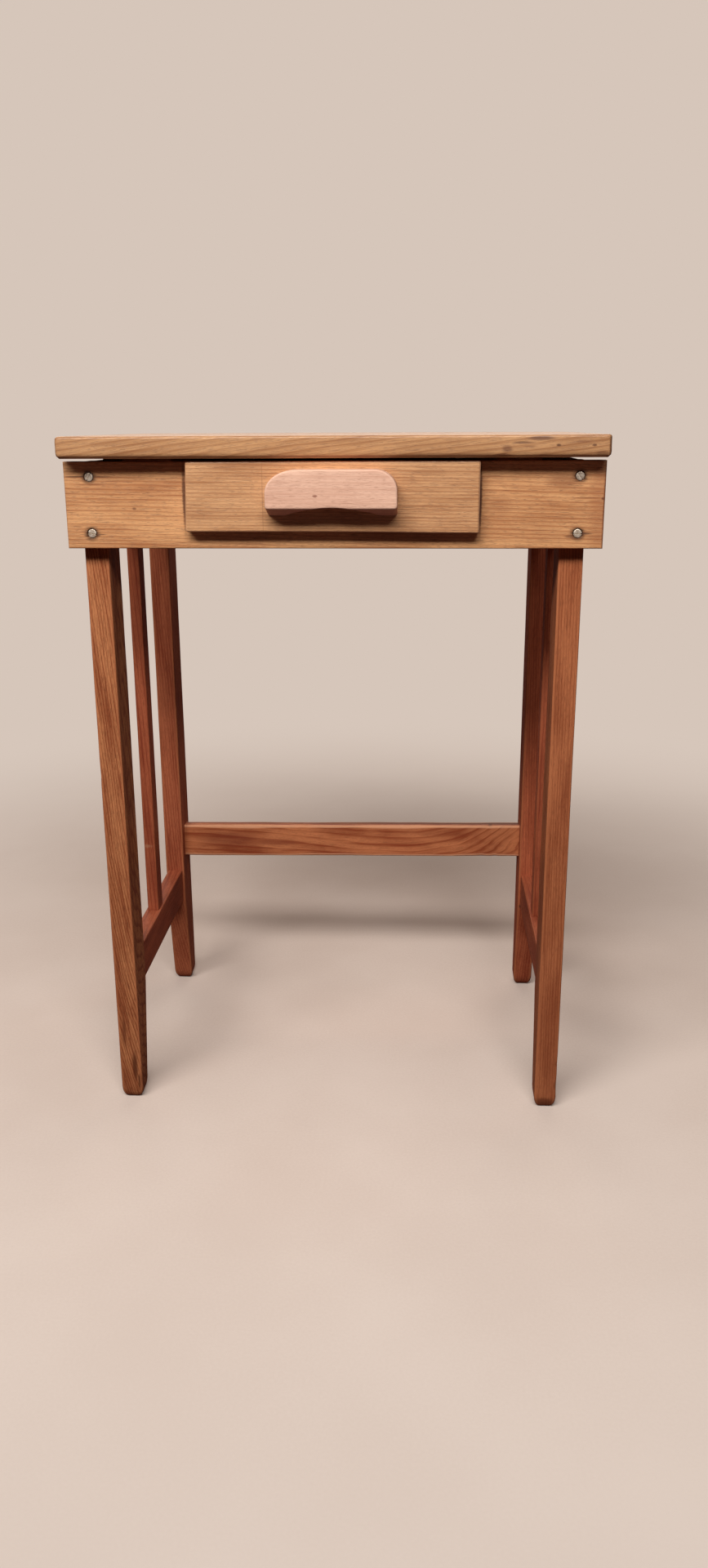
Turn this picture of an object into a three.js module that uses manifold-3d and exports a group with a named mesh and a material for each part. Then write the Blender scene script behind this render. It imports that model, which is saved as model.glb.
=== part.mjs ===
// A small oak writing desk. Each end is a frame of two legs, an upper rail, a low stretcher and one
// upright slat. A board with a notch for the drawer is screwed across the front legs, a plain board
// across the rear legs, and the top stands a little above them on two battens.
// Lengths are in millimetres. X runs to the right, Y from the front to the back and Z up. Places are
// worked out from the front edge of the top, and the outer group moves the middle of the desk's
// floor area to the origin at the end.

import * as THREE from 'three';
import { mergeVertices } from 'three/addons/utils/BufferGeometryUtils.js';
import Module from 'manifold-3d';

// The top
const deskHeight = 757;
const topWidth = 542;
const topDepth = 400;
const topThickness = 21.5;
const topCornerRadius = 5;
const topArris = 2.5;

// The front and rear boards, nearly flush with the ends of the top and screwed across the legs
const boardHeight = 85.5;
const boardThickness = 16;
const boardArris = 1.2;
const boardGap = 3;
const boardInset = 1;
const frontSetback = 21.5;
const rearSetback = 1.9;
const notchWidth = 262;
const notchSill = 28;

// The legs. Both end frames stand a little to the left of the middle of the top.
const legOverhang = 15;
const endFrameShift = -2.2;
const legWidth = 25;
const legDepth = 47;
const legGap = 3.7;
const legArris = 1.3;
const footDepth = 25;
const footRoundWidth = 4.5;
const footRoundHeight = 8;

// Rails, stretchers and slats between the legs
const railThickness = 19;
const railHeight = 80;
const railArris = 1;
const sideStretcherHeight = 44;
const sideStretcherTop = 175.5;
const rearStretcherHeight = 42;
const rearStretcherTop = 239;
const rearStretcherThickness = 18;
const rearStretcherArris = 2;
const slatWidth = 24;
const slatThickness = 14;
const slatSetback = 109;
const slatArris = 0.8;

// Mortise and tenon joints
const tenonThickness = 8;
const tenonShoulder = 6;
const frameTenonLength = 20;
const rearTenonLength = 15;
const slatTenonLength = 12;
const slatTenonShoulder = 4;
const mortiseEndRoom = 0.8;

// Clearances: pieces that touch keep the seat, a tenon in its mortise keeps the fit all round
const seat = 0.3;
const fit = 0.3;
const overrun = 2;

// Battens that carry the top, inside the legs of each end
const battenThickness = 20;
const battenHeight = 25;
const battenArris = 0.8;

// The hanging guides of the drawer: a cleat, a guide board and a ledge on each side
const guideThickness = 12;
const guideDrop = 73;
const guideRearRoom = 19.3;
const cleatWidth = 20;
const cleatHeight = 15;
const ledgeWidth = 12;
const ledgeHeight = 10;
const guideArris = 0.6;
const guidePlay = 0.6;
const kickerWidth = 30;
const kickerThickness = 6;
const kickerInset = 8;

// The drawer. It rests a little to the right in its play.
const drawerShift = 1.3;
const drawerFrontOverlap = 14.3;
const drawerFrontHeight = 68.5;
const drawerFrontThickness = 13.5;
const drawerFrontRaise = 17.5;
const drawerFrontArris = 2.2;
const drawerFrontCornerRadius = 2.5;
const drawerSidePlay = 1.6;
const drawerLift = 0.5;
const drawerRearRoom = 21.3;
const drawerBoxHeight = 52;
const drawerSideThickness = 10;
const innerFrontThickness = 12;
const drawerBackThickness = 10;
const drawerBoardArris = 0.6;
const bottomThickness = 5;
const bottomRaise = 5;
const grooveDepth = 4;
const housingDepth = 3;
const tailCount = 3;
const tailEndWidth = 12;
const tailFlare = 1.8;

// The pull
const pullDepth = 23;
const pullWidth = 129;
const pullFrontHeight = 37;
const pullSlopeDrop = 7.5;
const pullRaise = 23.8;
const pullLeftCornerWidth = 31;
const pullLeftCornerHeight = 22;
const pullRightCornerWidth = 22;
const pullRightCornerHeight = 20.5;
const pullFootRadius = 3;
const pullArris = 1.6;
const archHalfWidth = 47;
const archRise = 8.3;
const coveHalfWidth = 40;
const coveHalfDepth = 6.5;
const coveRise = 20;
const coveLip = 8;

// Slotted wood screws and the nails of the drawer bottom
const screwHeadDiameter = 8.4;
const screwHeadDepth = 3.4;
const screwShankDiameter = 3.6;
const screwPointLength = 5;
const screwSlotWidth = 1;
const screwSlotDepth = 1.1;
const screwRecess = 0.5;
const screwSink = 0.35;
const boardScrewLength = 38;
const boardScrewEdge = 15;
const boardScrewInset = 25.3;
const battenScrewLength = 30;
const topScrewLength = 34;
const cleatScrewLength = 26;
const kickerScrewLength = 15;
const frontScrewLength = 20;
const frontScrewInset = 16;
const pullScrewLength = 40;
const nailHeadDiameter = 3.4;
const nailDiameter = 1.6;
const nailHeadDepth = 0.8;
const nailLength = 18;

// Places that follow from those sizes, measured from the front edge of the top and from the floor
const topUnderside = deskHeight - topThickness;
const boardTop = topUnderside - boardGap;
const boardBottom = boardTop - boardHeight;
const boardBack = frontSetback + boardThickness;
const legTop = topUnderside - legGap;
const boardLength = topWidth - 2 * boardInset;
const legOuter = topWidth / 2 - legOverhang;
const legInner = legOuter - legWidth;
const legMiddle = (legOuter + legInner) / 2;
const frameFront = boardBack + seat;
const frameBack = topDepth - rearSetback - boardThickness - seat;
const frontLegBack = frameFront + legDepth;
const rearLegFront = frameBack - legDepth;
const sideStretcherBottom = sideStretcherTop - sideStretcherHeight;
const slatFront = frontLegBack + slatSetback;
const slatMiddle = slatFront + slatWidth / 2;
const frontLegMiddle = (frameFront + frontLegBack) / 2;
const rearLegMiddle = (rearLegFront + frameBack) / 2;
const rearBoardFront = frameBack + seat;
const rearBoardBack = rearBoardFront + boardThickness;
const guideFront = boardBack + seat;
const guideBack = rearBoardFront - guideRearRoom;
const guideLength = guideBack - guideFront;
const drawerFrontBack = frontSetback - seat;
const drawerFrontFace = drawerFrontBack - drawerFrontThickness;
const drawerFrontBottom = boardBottom + drawerFrontRaise;
const notchFloor = boardBottom + notchSill;
const drawerFrontWidth = notchWidth + 2 * drawerFrontOverlap;
const drawerHalf = notchWidth / 2 - drawerSidePlay;
const drawerFloor = notchFloor + drawerLift;
const drawerTop = drawerFloor + drawerBoxHeight;
const boxFront = frontSetback;
const boxBack = guideBack - drawerRearRoom;
const innerFrontBack = boxFront + innerFrontThickness;
const drawerBackFront = boxBack - drawerBackThickness;
const pullBack = drawerFrontFace - seat;
const pullFace = pullBack - pullDepth;
const pullFrontBottom = drawerFrontBottom + pullRaise;
const floorMiddle = (topDepth + pullFace) / 2;

const wasm = await Module();
wasm.setup();

// Turns a closed geometry into a solid that can be cut and joined.
function solid(geometry) {
  const plain = (geometry.index ? geometry.toNonIndexed() : geometry).clone();
  plain.deleteAttribute('normal');
  plain.deleteAttribute('uv');
  const merged = mergeVertices(plain, 1e-5);
  return new wasm.Manifold(new wasm.Mesh({
    numProp: 3,
    vertProperties: new Float32Array(merged.attributes.position.array),
    triVerts: new Uint32Array(merged.index.array),
  }));
}

// Turns a solid back into a geometry for a mesh.
function skin(shape) {
  const mesh = shape.getMesh();
  const geometry = new THREE.BufferGeometry();
  geometry.setAttribute('position', new THREE.BufferAttribute(new Float32Array(mesh.vertProperties), 3));
  geometry.setIndex(new THREE.BufferAttribute(new Uint32Array(mesh.triVerts), 1));
  return geometry;
}

function cut(shape, ...cutters) {
  return cutters.reduce((rest, cutter) => rest.subtract(cutter), shape);
}

function join(...shapes) {
  return shapes.reduce((sum, shape) => sum.add(shape));
}

// A plain block between two corners, used for tenons and as a cutter.
function block(low, high) {
  const size = high.map((value, k) => value - low[k]);
  const middle = high.map((value, k) => (value + low[k]) / 2);
  return solid(new THREE.BoxGeometry(...size).translate(...middle));
}

// The outline of a rectangle with round corners, centred on the origin.
function roundedRectangle(width, height, radius) {
  const x = width / 2;
  const y = height / 2;
  const outline = new THREE.Shape();
  outline.moveTo(x, y - radius);
  outline.absarc(x - radius, y - radius, radius, 0, Math.PI / 2, false);
  outline.absarc(radius - x, y - radius, radius, Math.PI / 2, Math.PI, false);
  outline.absarc(radius - x, radius - y, radius, Math.PI, 1.5 * Math.PI, false);
  outline.absarc(x - radius, radius - y, radius, 1.5 * Math.PI, 2 * Math.PI, false);
  return outline;
}

// Directions that a section's width, height and length take for a bar along each axis.
const X = new THREE.Vector3(1, 0, 0);
const Y = new THREE.Vector3(0, 1, 0);
const Z = new THREE.Vector3(0, 0, 1);
const axes = { x: [Y, Z, X], y: [Z, X, Y], z: [X, Y, Z] };

// A planed bar between two corners. Its section, square to the axis, has eased corners of the given
// radius, and its two ends have eased edges of their own.
function bar(low, high, axis, corner, endArris = 0, steps = 2) {
  const [across, up, along] = axes[axis];
  const a = new THREE.Vector3(...low);
  const b = new THREE.Vector3(...high);
  const size = b.clone().sub(a);
  const middle = b.clone().add(a).multiplyScalar(0.5);
  const width = size.dot(across);
  const height = size.dot(up);
  const length = size.dot(along);
  const outline = roundedRectangle(width - 2 * endArris, height - 2 * endArris, corner);
  const geometry = new THREE.ExtrudeGeometry(outline, {
    depth: length - 2 * endArris,
    steps: 1,
    curveSegments: steps,
    bevelEnabled: endArris > 0,
    bevelSize: endArris,
    bevelThickness: endArris,
    bevelSegments: steps,
  });
  geometry.translate(0, 0, endArris - length / 2);
  geometry.applyMatrix4(new THREE.Matrix4().makeBasis(across, up, along));
  return solid(geometry.translate(middle.x, middle.y, middle.z));
}

// A skin stretched over rings of equal count, closed at both ends by a fan.
function loft(rings) {
  const count = rings[0].length;
  const points = rings.flat();
  const triangles = [];
  for (let k = 0; k + 1 < rings.length; k += 1) {
    for (let j = 0; j < count; j += 1) {
      const next = (j + 1) % count;
      const a = k * count + j;
      const b = k * count + next;
      triangles.push([a, b, b + count], [a, b + count, a + count]);
    }
  }
  const last = points.length - count;
  for (let j = 1; j + 1 < count; j += 1) {
    triangles.push([0, j + 1, j], [last, last + j, last + j + 1]);
  }
  const geometry = new THREE.BufferGeometry();
  geometry.setAttribute('position', new THREE.Float32BufferAttribute(points.flat(), 3));
  geometry.setIndex(triangles.flat());
  return solid(geometry);
}

// Screws and nails are turned about their own axis, with the head's face at the start and the point
// at the end, and then aimed along a direction.
const screwSides = 12;

function turned(profile, place, direction) {
  const geometry = new THREE.LatheGeometry(profile.map(([r, s]) => new THREE.Vector2(r, -s)), screwSides);
  geometry.applyQuaternion(new THREE.Quaternion().setFromUnitVectors(new THREE.Vector3(0, -1, 0), direction));
  return solid(geometry.translate(...place));
}

function screwProfile(length, head, shank, room) {
  return [
    [0, length + room],
    [shank / 2, length - screwPointLength + room],
    [shank / 2, screwHeadDepth],
    [head / 2, 0],
    [0, 0],
  ];
}

function screw(place, direction, length, slotAngle = 0) {
  const inward = direction.clone().multiplyScalar(screwSink);
  const at = place.map((value, k) => value + inward.getComponent(k));
  const body = turned(screwProfile(length, screwHeadDiameter, screwShankDiameter, 0), at, direction);
  const slot = new THREE.BoxGeometry(screwHeadDiameter + overrun, 2 * screwSlotDepth, screwSlotWidth);
  slot.rotateY(slotAngle);
  slot.applyQuaternion(new THREE.Quaternion().setFromUnitVectors(new THREE.Vector3(0, -1, 0), direction));
  return cut(body, solid(slot.translate(...at)));
}

// The countersunk hole that a screw sits in, a little wider than the screw all over.
function screwHole(place, direction, length) {
  const head = screwHeadDiameter + 2 * screwRecess;
  const shank = screwShankDiameter + 2 * fit;
  const profile = [
    [0, length + screwSink + 2 * fit],
    [shank / 2, length - screwPointLength + screwSink + 2 * fit],
    [shank / 2, screwHeadDepth + screwSink + fit],
    [head / 2, screwSink],
    [head / 2, -overrun],
    [0, -overrun],
  ];
  return turned(profile, place, direction);
}

function mirrored(place) {
  return [-place[0], place[1], place[2]];
}

// Every piece is a mesh of its own with its own finish.
const desk = new THREE.Group();
const drawer = new THREE.Group();
desk.add(drawer);

function finish(colour, roughness, metalness = 0) {
  return new THREE.MeshStandardMaterial({ color: colour, roughness, metalness });
}

function piece(name, shape, material, parent = desk) {
  const mesh = new THREE.Mesh(skin(shape), material);
  mesh.name = name;
  parent.add(mesh);
}

// Like fasteners are pieces of their own, numbered from 1.
function fasteners(name, shapes, parent = desk) {
  shapes.forEach((shape, k) => piece(`${name}_${k + 1}`, shape, steel(), parent));
}

const oak = () => finish('#b5743f', 0.55);
const brownOak = () => finish('#8a4a2b', 0.5);
const paleWood = () => finish('#c8937a', 0.6);
const insideWood = () => finish('#b98a5c', 0.7);
const steel = () => finish('#a9a49a', 0.4, 0.9);

const sides = [['left', -1], ['right', 1]];

// Puts a pair of x values in rising order on the left or on the right of the desk.
function span(side, near, far) {
  return side < 0 ? [-far, -near] : [near, far];
}

// The same for a piece of the end frames, which stand off the middle of the top.
function framed(side, near, far) {
  return span(side, near, far).map((x) => x + endFrameShift);
}

// Screws of the front and rear boards, into each leg
const boardScrewHeights = [boardTop - boardScrewEdge, boardBottom + boardScrewEdge];
const slotAngles = [-1.05, 0.2, 0.9, 0.04];
const frontScrewPlaces = [];
const rearScrewPlaces = [];
for (const [, side] of sides) {
  for (const height of boardScrewHeights) {
    const x = side * (boardLength / 2 - boardScrewInset);
    frontScrewPlaces.push([x, frontSetback, height]);
    rearScrewPlaces.push([x, rearBoardBack, height]);
  }
}
const intoFront = Y.clone();
const intoRear = Y.clone().negate();
const frontScrewHoles = frontScrewPlaces.map((place) => screwHole(place, intoFront, boardScrewLength));
const rearScrewHoles = rearScrewPlaces.map((place) => screwHole(place, intoRear, boardScrewLength));

// Screws through each batten into both legs, and up through it into the top
const railMiddle = legMiddle;
const railInner = railMiddle - railThickness / 2;
const railOuter = railMiddle + railThickness / 2;
const battenOuter = legInner - seat;
const battenInner = battenOuter - battenThickness;
const battenMiddle = (battenInner + battenOuter) / 2;
const battenBottom = topUnderside - seat - battenHeight;
const battenLength = frameBack - frameFront;
const topScrewShares = [0.15, 0.85];
const legScrewPlaces = [];
const battenTopScrewPlaces = [];
for (const [, side] of sides) {
  for (const y of [frontLegMiddle, rearLegMiddle]) {
    const x = side * battenInner + endFrameShift;
    legScrewPlaces.push({ place: [x, y, battenBottom + battenHeight / 2], side });
  }
  for (const share of topScrewShares) {
    const x = side * battenMiddle + endFrameShift;
    battenTopScrewPlaces.push([x, frameFront + share * battenLength, battenBottom]);
  }
}
const outward = (side) => X.clone().multiplyScalar(side);
const upward = Z.clone();
const legScrewHoles = legScrewPlaces.map(
  ({ place, side }) => screwHole(place, outward(side), battenScrewLength),
);
const battenTopHoles = battenTopScrewPlaces.map((place) => screwHole(place, upward, topScrewLength));

// Screws through the cleats of the drawer guides and through the kicker into the top
const guideInner = notchWidth / 2 + guidePlay;
const guideOuter = guideInner + guideThickness;
const cleatInner = guideOuter + seat;
const cleatOuter = cleatInner + cleatWidth;
const cleatMiddle = (cleatInner + cleatOuter) / 2;
const cleatBottom = topUnderside - seat - cleatHeight;
const kickerBottom = topUnderside - seat - kickerThickness;
const cleatScrewShares = [0.15, 0.85];
const kickerScrewShares = [0.08, 0.92];
const cleatScrewPlaces = [];
for (const share of cleatScrewShares) {
  const place = [cleatMiddle, guideFront + share * guideLength, cleatBottom];
  cleatScrewPlaces.push(mirrored(place), place);
}
const kickerScrewPlaces = kickerScrewShares.map(
  (share) => [0, guideFront + share * guideLength, kickerBottom],
);
const cleatHoles = cleatScrewPlaces.map((place) => screwHole(place, upward, cleatScrewLength));
const kickerHoles = kickerScrewPlaces.map((place) => screwHole(place, upward, kickerScrewLength));

// Top: one thick board with softly rounded corners and arrises, planed flat below.
const halfTop = topWidth / 2;
piece('top_panel', cut(
  bar([-halfTop, 0, topUnderside], [halfTop, topDepth, deskHeight], 'z', topCornerRadius, topArris, 3),
  ...battenTopHoles,
  ...cleatHoles,
  ...kickerHoles,
), oak());

// Front board: a sawn notch, open at the top, lets the drawer through.
const halfBoard = boardLength / 2;
piece('front_board', cut(
  bar([-halfBoard, frontSetback, boardBottom], [halfBoard, boardBack, boardTop], 'y', boardArris, boardArris),
  block(
    [-notchWidth / 2, frontSetback - overrun, notchFloor],
    [notchWidth / 2, boardBack + overrun, boardTop + overrun],
  ),
  ...frontScrewHoles,
), oak());

// Rear board: the same board without the notch, on the backs of the rear legs.
piece('rear_board', cut(
  bar(
    [-halfBoard, rearBoardFront, boardBottom],
    [halfBoard, rearBoardBack, boardTop],
    'y',
    boardArris,
    boardArris,
  ),
  ...rearScrewHoles,
), brownOak());

fasteners('front_board_screw', frontScrewPlaces.map(
  (place, k) => screw(place, intoFront, boardScrewLength, slotAngles[k]),
));
fasteners('rear_board_screw', rearScrewPlaces.map(
  (place, k) => screw(place, intoRear, boardScrewLength, slotAngles[slotAngles.length - 1 - k]),
));

// The tenon on an end of a rail or stretcher, and the mortise that takes it, share these blocks. The
// room is nothing for the tenon and the fit for the mortise, which is also a little deeper.
function frameTenon(side, low, high, front, room) {
  const half = tenonThickness / 2 + room;
  const deep = frameTenonLength + (room > 0 ? mortiseEndRoom : -seat);
  const root = front ? frontLegBack : rearLegFront;
  const [y0, y1] = front ? [root - deep, root + overrun] : [root - overrun, root + deep];
  const x = side * railMiddle + endFrameShift;
  return block([x - half, y0, low + tenonShoulder - room], [x + half, y1, high - tenonShoulder + room]);
}

function rearTenon(side, room) {
  const half = tenonThickness / 2 + room;
  const deep = rearTenonLength + (room > 0 ? mortiseEndRoom : -seat);
  const [x0, x1] = framed(side, legInner - overrun, legInner + deep);
  const low = rearStretcherTop - rearStretcherHeight + tenonShoulder - room;
  const high = rearStretcherTop - tenonShoulder + room;
  return block([x0, rearLegMiddle - half, low], [x1, rearLegMiddle + half, high]);
}

function slatTenon(side, level, rises, room) {
  const halfX = tenonThickness / 2 + room;
  const halfY = slatWidth / 2 - slatTenonShoulder + room;
  const deep = slatTenonLength + (room > 0 ? mortiseEndRoom : -seat);
  const [z0, z1] = rises ? [level - overrun, level + deep] : [level - deep, level + overrun];
  const x = side * railMiddle + endFrameShift;
  return block([x - halfX, slatMiddle - halfY, z0], [x + halfX, slatMiddle + halfY, z1]);
}

// Upper rail of each end, level with the legs at the top.
const railTop = legTop;
const railBottom = railTop - railHeight;

// Leg: square in plan above the stretcher. Below it the inner face slopes in until the foot is square,
// and the foot's lower edges are worn round.
const footSteps = 4;
const cornerSteps = 2;

function ring(x0, x1, y0, y1, z, radius) {
  const points = [];
  const corners = [
    [x1 - radius, y1 - radius],
    [x0 + radius, y1 - radius],
    [x0 + radius, y0 + radius],
    [x1 - radius, y0 + radius],
  ];
  corners.forEach(([cx, cy], quarter) => {
    for (let k = 0; k <= cornerSteps; k += 1) {
      const angle = (quarter + k / cornerSteps) * Math.PI / 2;
      points.push([cx + radius * Math.cos(angle), cy + radius * Math.sin(angle), z]);
    }
  });
  return points;
}

function legBlank(side, front) {
  const [x0, x1] = framed(side, legInner, legOuter);
  const rings = [];
  const level = (z, inset) => {
    const depth = Math.min(legDepth, footDepth + (legDepth - footDepth) * z / sideStretcherBottom);
    const [y0, y1] = front ? [frameFront, frameFront + depth] : [frameBack - depth, frameBack];
    rings.push(ring(x0 + inset, x1 - inset, y0 + inset, y1 - inset, z, legArris));
  };
  for (let k = 0; k <= footSteps; k += 1) {
    const angle = k / footSteps * Math.PI / 2;
    level(footRoundHeight * (1 - Math.cos(angle)), footRoundWidth * (1 - Math.sin(angle)));
  }
  level(sideStretcherBottom, 0);
  level(legTop, 0);
  return loft(rings);
}

for (const [word, side] of sides) {
  const mortises = (front) => [
    frameTenon(side, railBottom, railTop, front, fit),
    frameTenon(side, sideStretcherBottom, sideStretcherTop, front, fit),
  ];
  const mine = (holes, places) => holes.filter((hole, k) => Math.sign(places[k][0]) === side);
  const battenHoles = mine(legScrewHoles, legScrewPlaces.map(({ place }) => place));
  piece(`front_leg_${word}`, cut(
    legBlank(side, true),
    ...mortises(true),
    ...mine(frontScrewHoles, frontScrewPlaces),
    ...battenHoles,
  ), brownOak());
  piece(`rear_leg_${word}`, cut(
    legBlank(side, false),
    ...mortises(false),
    rearTenon(side, fit),
    ...mine(rearScrewHoles, rearScrewPlaces),
    ...battenHoles,
  ), brownOak());

  const [in0, in1] = framed(side, railInner, railOuter);
  const y0 = frontLegBack + seat;
  const y1 = rearLegFront - seat;
  piece(`upper_rail_${word}`, cut(
    join(
      bar([in0, y0, railBottom], [in1, y1, railTop], 'y', railArris),
      frameTenon(side, railBottom, railTop, true, 0),
      frameTenon(side, railBottom, railTop, false, 0),
    ),
    slatTenon(side, railBottom, true, fit),
  ), brownOak());
  piece(`side_stretcher_${word}`, cut(
    join(
      bar([in0, y0, sideStretcherBottom], [in1, y1, sideStretcherTop], 'y', railArris),
      frameTenon(side, sideStretcherBottom, sideStretcherTop, true, 0),
      frameTenon(side, sideStretcherBottom, sideStretcherTop, false, 0),
    ),
    slatTenon(side, sideStretcherTop, false, fit),
  ), brownOak());

  // The slat stands between the stretcher and the rail, a little forward of the middle.
  const [sx0, sx1] = framed(side, railMiddle - slatThickness / 2, railMiddle + slatThickness / 2);
  piece(`slat_${word}`, join(
    bar(
      [sx0, slatFront, sideStretcherTop + seat],
      [sx1, slatFront + slatWidth, railBottom - seat],
      'z',
      slatArris,
    ),
    slatTenon(side, railBottom, true, 0),
    slatTenon(side, sideStretcherTop, false, 0),
  ), brownOak());

  // The batten lies inside both legs and stands above them, so the top clears the frame.
  const [bx0, bx1] = framed(side, battenInner, battenOuter);
  piece(`top_batten_${word}`, cut(
    bar([bx0, frameFront, battenBottom], [bx1, frameBack, topUnderside - seat], 'y', battenArris),
    ...battenHoles,
    ...mine(battenTopHoles, battenTopScrewPlaces),
  ), insideWood());
}

// Rear stretcher between the rear legs, with well rounded arrises.
const rearStretcherBottom = rearStretcherTop - rearStretcherHeight;
piece('rear_stretcher', join(
  bar(
    [endFrameShift + seat - legInner, rearLegMiddle - rearStretcherThickness / 2, rearStretcherBottom],
    [endFrameShift + legInner - seat, rearLegMiddle + rearStretcherThickness / 2, rearStretcherTop],
    'x',
    rearStretcherArris,
    0,
    3,
  ),
  rearTenon(-1, 0),
  rearTenon(1, 0),
), brownOak());

fasteners('batten_leg_screw', legScrewPlaces.map(
  ({ place, side }) => screw(place, outward(side), battenScrewLength),
));
fasteners('batten_top_screw', battenTopScrewPlaces.map((place) => screw(place, upward, topScrewLength)));

// Drawer guides hang from the top: a cleat takes the screws, the guide board keeps the drawer
// straight, and the ledge along its foot carries the drawer side.
const ledgeTop = notchFloor;
const ledgeBottom = ledgeTop - ledgeHeight;
for (const [word, side] of sides) {
  const [gx0, gx1] = span(side, guideInner, guideOuter);
  const [cx0, cx1] = span(side, cleatInner, cleatOuter);
  const [lx0, lx1] = span(side, guideInner - seat - ledgeWidth, guideInner - seat);
  const high = topUnderside - seat;
  piece(`drawer_guide_${word}`, bar(
    [gx0, guideFront, high - guideDrop],
    [gx1, guideBack, high],
    'y',
    guideArris,
    0,
    1,
  ), insideWood());
  piece(`guide_cleat_${word}`, cut(
    bar([cx0, guideFront, cleatBottom], [cx1, guideBack, high], 'y', guideArris, 0, 1),
    ...cleatHoles.filter((hole, k) => Math.sign(cleatScrewPlaces[k][0]) === side),
  ), insideWood());
  piece(`runner_ledge_${word}`, bar(
    [lx0, guideFront, ledgeBottom],
    [lx1, guideBack, ledgeTop],
    'y',
    guideArris,
    0,
    1,
  ), insideWood());
}

// The kicker is a thin strip under the top that keeps the open drawer from tipping.
piece('drawer_kicker', cut(
  bar(
    [-kickerWidth / 2, guideFront + kickerInset, kickerBottom],
    [kickerWidth / 2, guideBack - kickerInset, topUnderside - seat],
    'y',
    guideArris,
    0,
    1,
  ),
  ...kickerHoles,
), insideWood());
fasteners('cleat_screw', cleatScrewPlaces.map((place) => screw(place, upward, cleatScrewLength)));
fasteners('kicker_screw', kickerScrewPlaces.map((place) => screw(place, upward, kickerScrewLength)));

// Drawer: the box is dovetailed at its front corners. A tail is wider at its end than at its root,
// seen from the side, and goes through the full thickness of the inner front.
const tailPitch = drawerBoxHeight / tailCount;

function tail(side, index, room) {
  const middle = drawerFloor + (index + 0.5) * tailPitch;
  const end = tailEndWidth / 2 + room;
  const root = end - tailFlare;
  const front = boxFront - (room > 0 ? overrun : 0);
  const back = innerFrontBack + (room > 0 ? 0 : overrun);
  const grow = tailFlare / innerFrontThickness;
  const wide = end + grow * (boxFront - front);
  const narrow = root - grow * (back - innerFrontBack);
  const outline = new THREE.Shape();
  outline.moveTo(front, middle - wide);
  outline.lineTo(back, middle - narrow);
  outline.lineTo(back, middle + narrow);
  outline.lineTo(front, middle + wide);
  const inner = drawerHalf - drawerSideThickness - room;
  const outer = drawerHalf + (room > 0 ? overrun : 0);
  const [x0, x1] = span(side, inner, outer);
  const geometry = new THREE.ExtrudeGeometry(outline, { depth: x1 - x0, steps: 1, bevelEnabled: false });
  geometry.applyMatrix4(new THREE.Matrix4().makeBasis(Y, Z, X));
  return solid(geometry.translate(x0, 0, 0));
}

const tailNumbers = Array.from({ length: tailCount }, (unused, k) => k);
const drawerInner = drawerHalf - drawerSideThickness;
const bottomTop = drawerFloor + bottomRaise + bottomThickness;
const bottomHalf = drawerInner + grooveDepth - fit;
const bottomFront = innerFrontBack - grooveDepth + fit;

// The groove for the bottom runs inside both drawer sides and the inner front.
function bottomGroove() {
  const half = drawerInner + grooveDepth;
  return block(
    [-half, innerFrontBack - grooveDepth, bottomTop - bottomThickness - fit],
    [half, boxBack + overrun, bottomTop + fit],
  );
}

for (const [word, side] of sides) {
  const [x0, x1] = span(side, drawerInner, drawerHalf);
  const board = bar(
    [x0, innerFrontBack + fit, drawerFloor],
    [x1, boxBack, drawerTop],
    'y',
    drawerBoardArris,
    0,
    1,
  );
  const [h0, h1] = span(side, drawerInner - overrun, drawerInner + housingDepth);
  const housing = block(
    [h0, drawerBackFront - fit, drawerFloor - overrun],
    [h1, boxBack - drawerBoardArris + overrun, drawerTop + overrun],
  );
  piece(`drawer_side_${word}`, cut(
    join(board, ...tailNumbers.map((k) => tail(side, k, 0))),
    bottomGroove(),
    housing,
  ), insideWood(), drawer);
}

const pullScrewShares = [-0.3, 0.3];
const pullScrewLevelShare = 0.5;
const coverScrewLevel = drawerFrontBottom + drawerFrontHeight / 2;
const coverScrewPlaces = sides.map(
  ([, side]) => [side * (drawerInner - frontScrewInset), innerFrontBack, coverScrewLevel],
);
const pullHeight = pullFrontHeight + pullSlopeDrop;
const pullScrewPlaces = pullScrewShares.map((share) => [
  share * pullWidth,
  innerFrontBack,
  pullFrontBottom - pullSlopeDrop + pullScrewLevelShare * pullHeight,
]);
const coverScrewHoles = coverScrewPlaces.map((place) => screwHole(place, intoRear, frontScrewLength));
const pullScrewHoles = pullScrewPlaces.map((place) => screwHole(place, intoRear, pullScrewLength));

piece('drawer_inner_front', cut(
  bar(
    [-drawerHalf, boxFront, drawerFloor],
    [drawerHalf, innerFrontBack, drawerTop],
    'x',
    drawerBoardArris,
    0,
    1,
  ),
  ...sides.flatMap(([, side]) => tailNumbers.map((k) => tail(side, k, fit))),
  block(
    [-bottomHalf - fit, innerFrontBack - grooveDepth, bottomTop - bottomThickness - fit],
    [bottomHalf + fit, innerFrontBack + overrun, bottomTop + fit],
  ),
  ...coverScrewHoles,
  ...pullScrewHoles,
), insideWood(), drawer);

// The back stands on the bottom panel, with its ends housed in the drawer sides.
const backHalf = drawerInner + housingDepth - fit;
const nailShares = [-0.7, 0, 0.7];
const nailPlaces = nailShares.map((share) => [
  share * backHalf,
  drawerBackFront + drawerBackThickness / 2,
  bottomTop - bottomThickness,
]);

function nailShape(place, room) {
  return turned([
    [0, nailLength + room],
    [nailDiameter / 2 + room, nailLength - nailDiameter],
    [nailDiameter / 2 + room, nailHeadDepth + room],
    [nailHeadDiameter / 2 + room, nailHeadDepth + room],
    [nailHeadDiameter / 2 + room, room > 0 ? -overrun : 0],
    [0, room > 0 ? -overrun : 0],
  ], place, upward);
}

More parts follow.
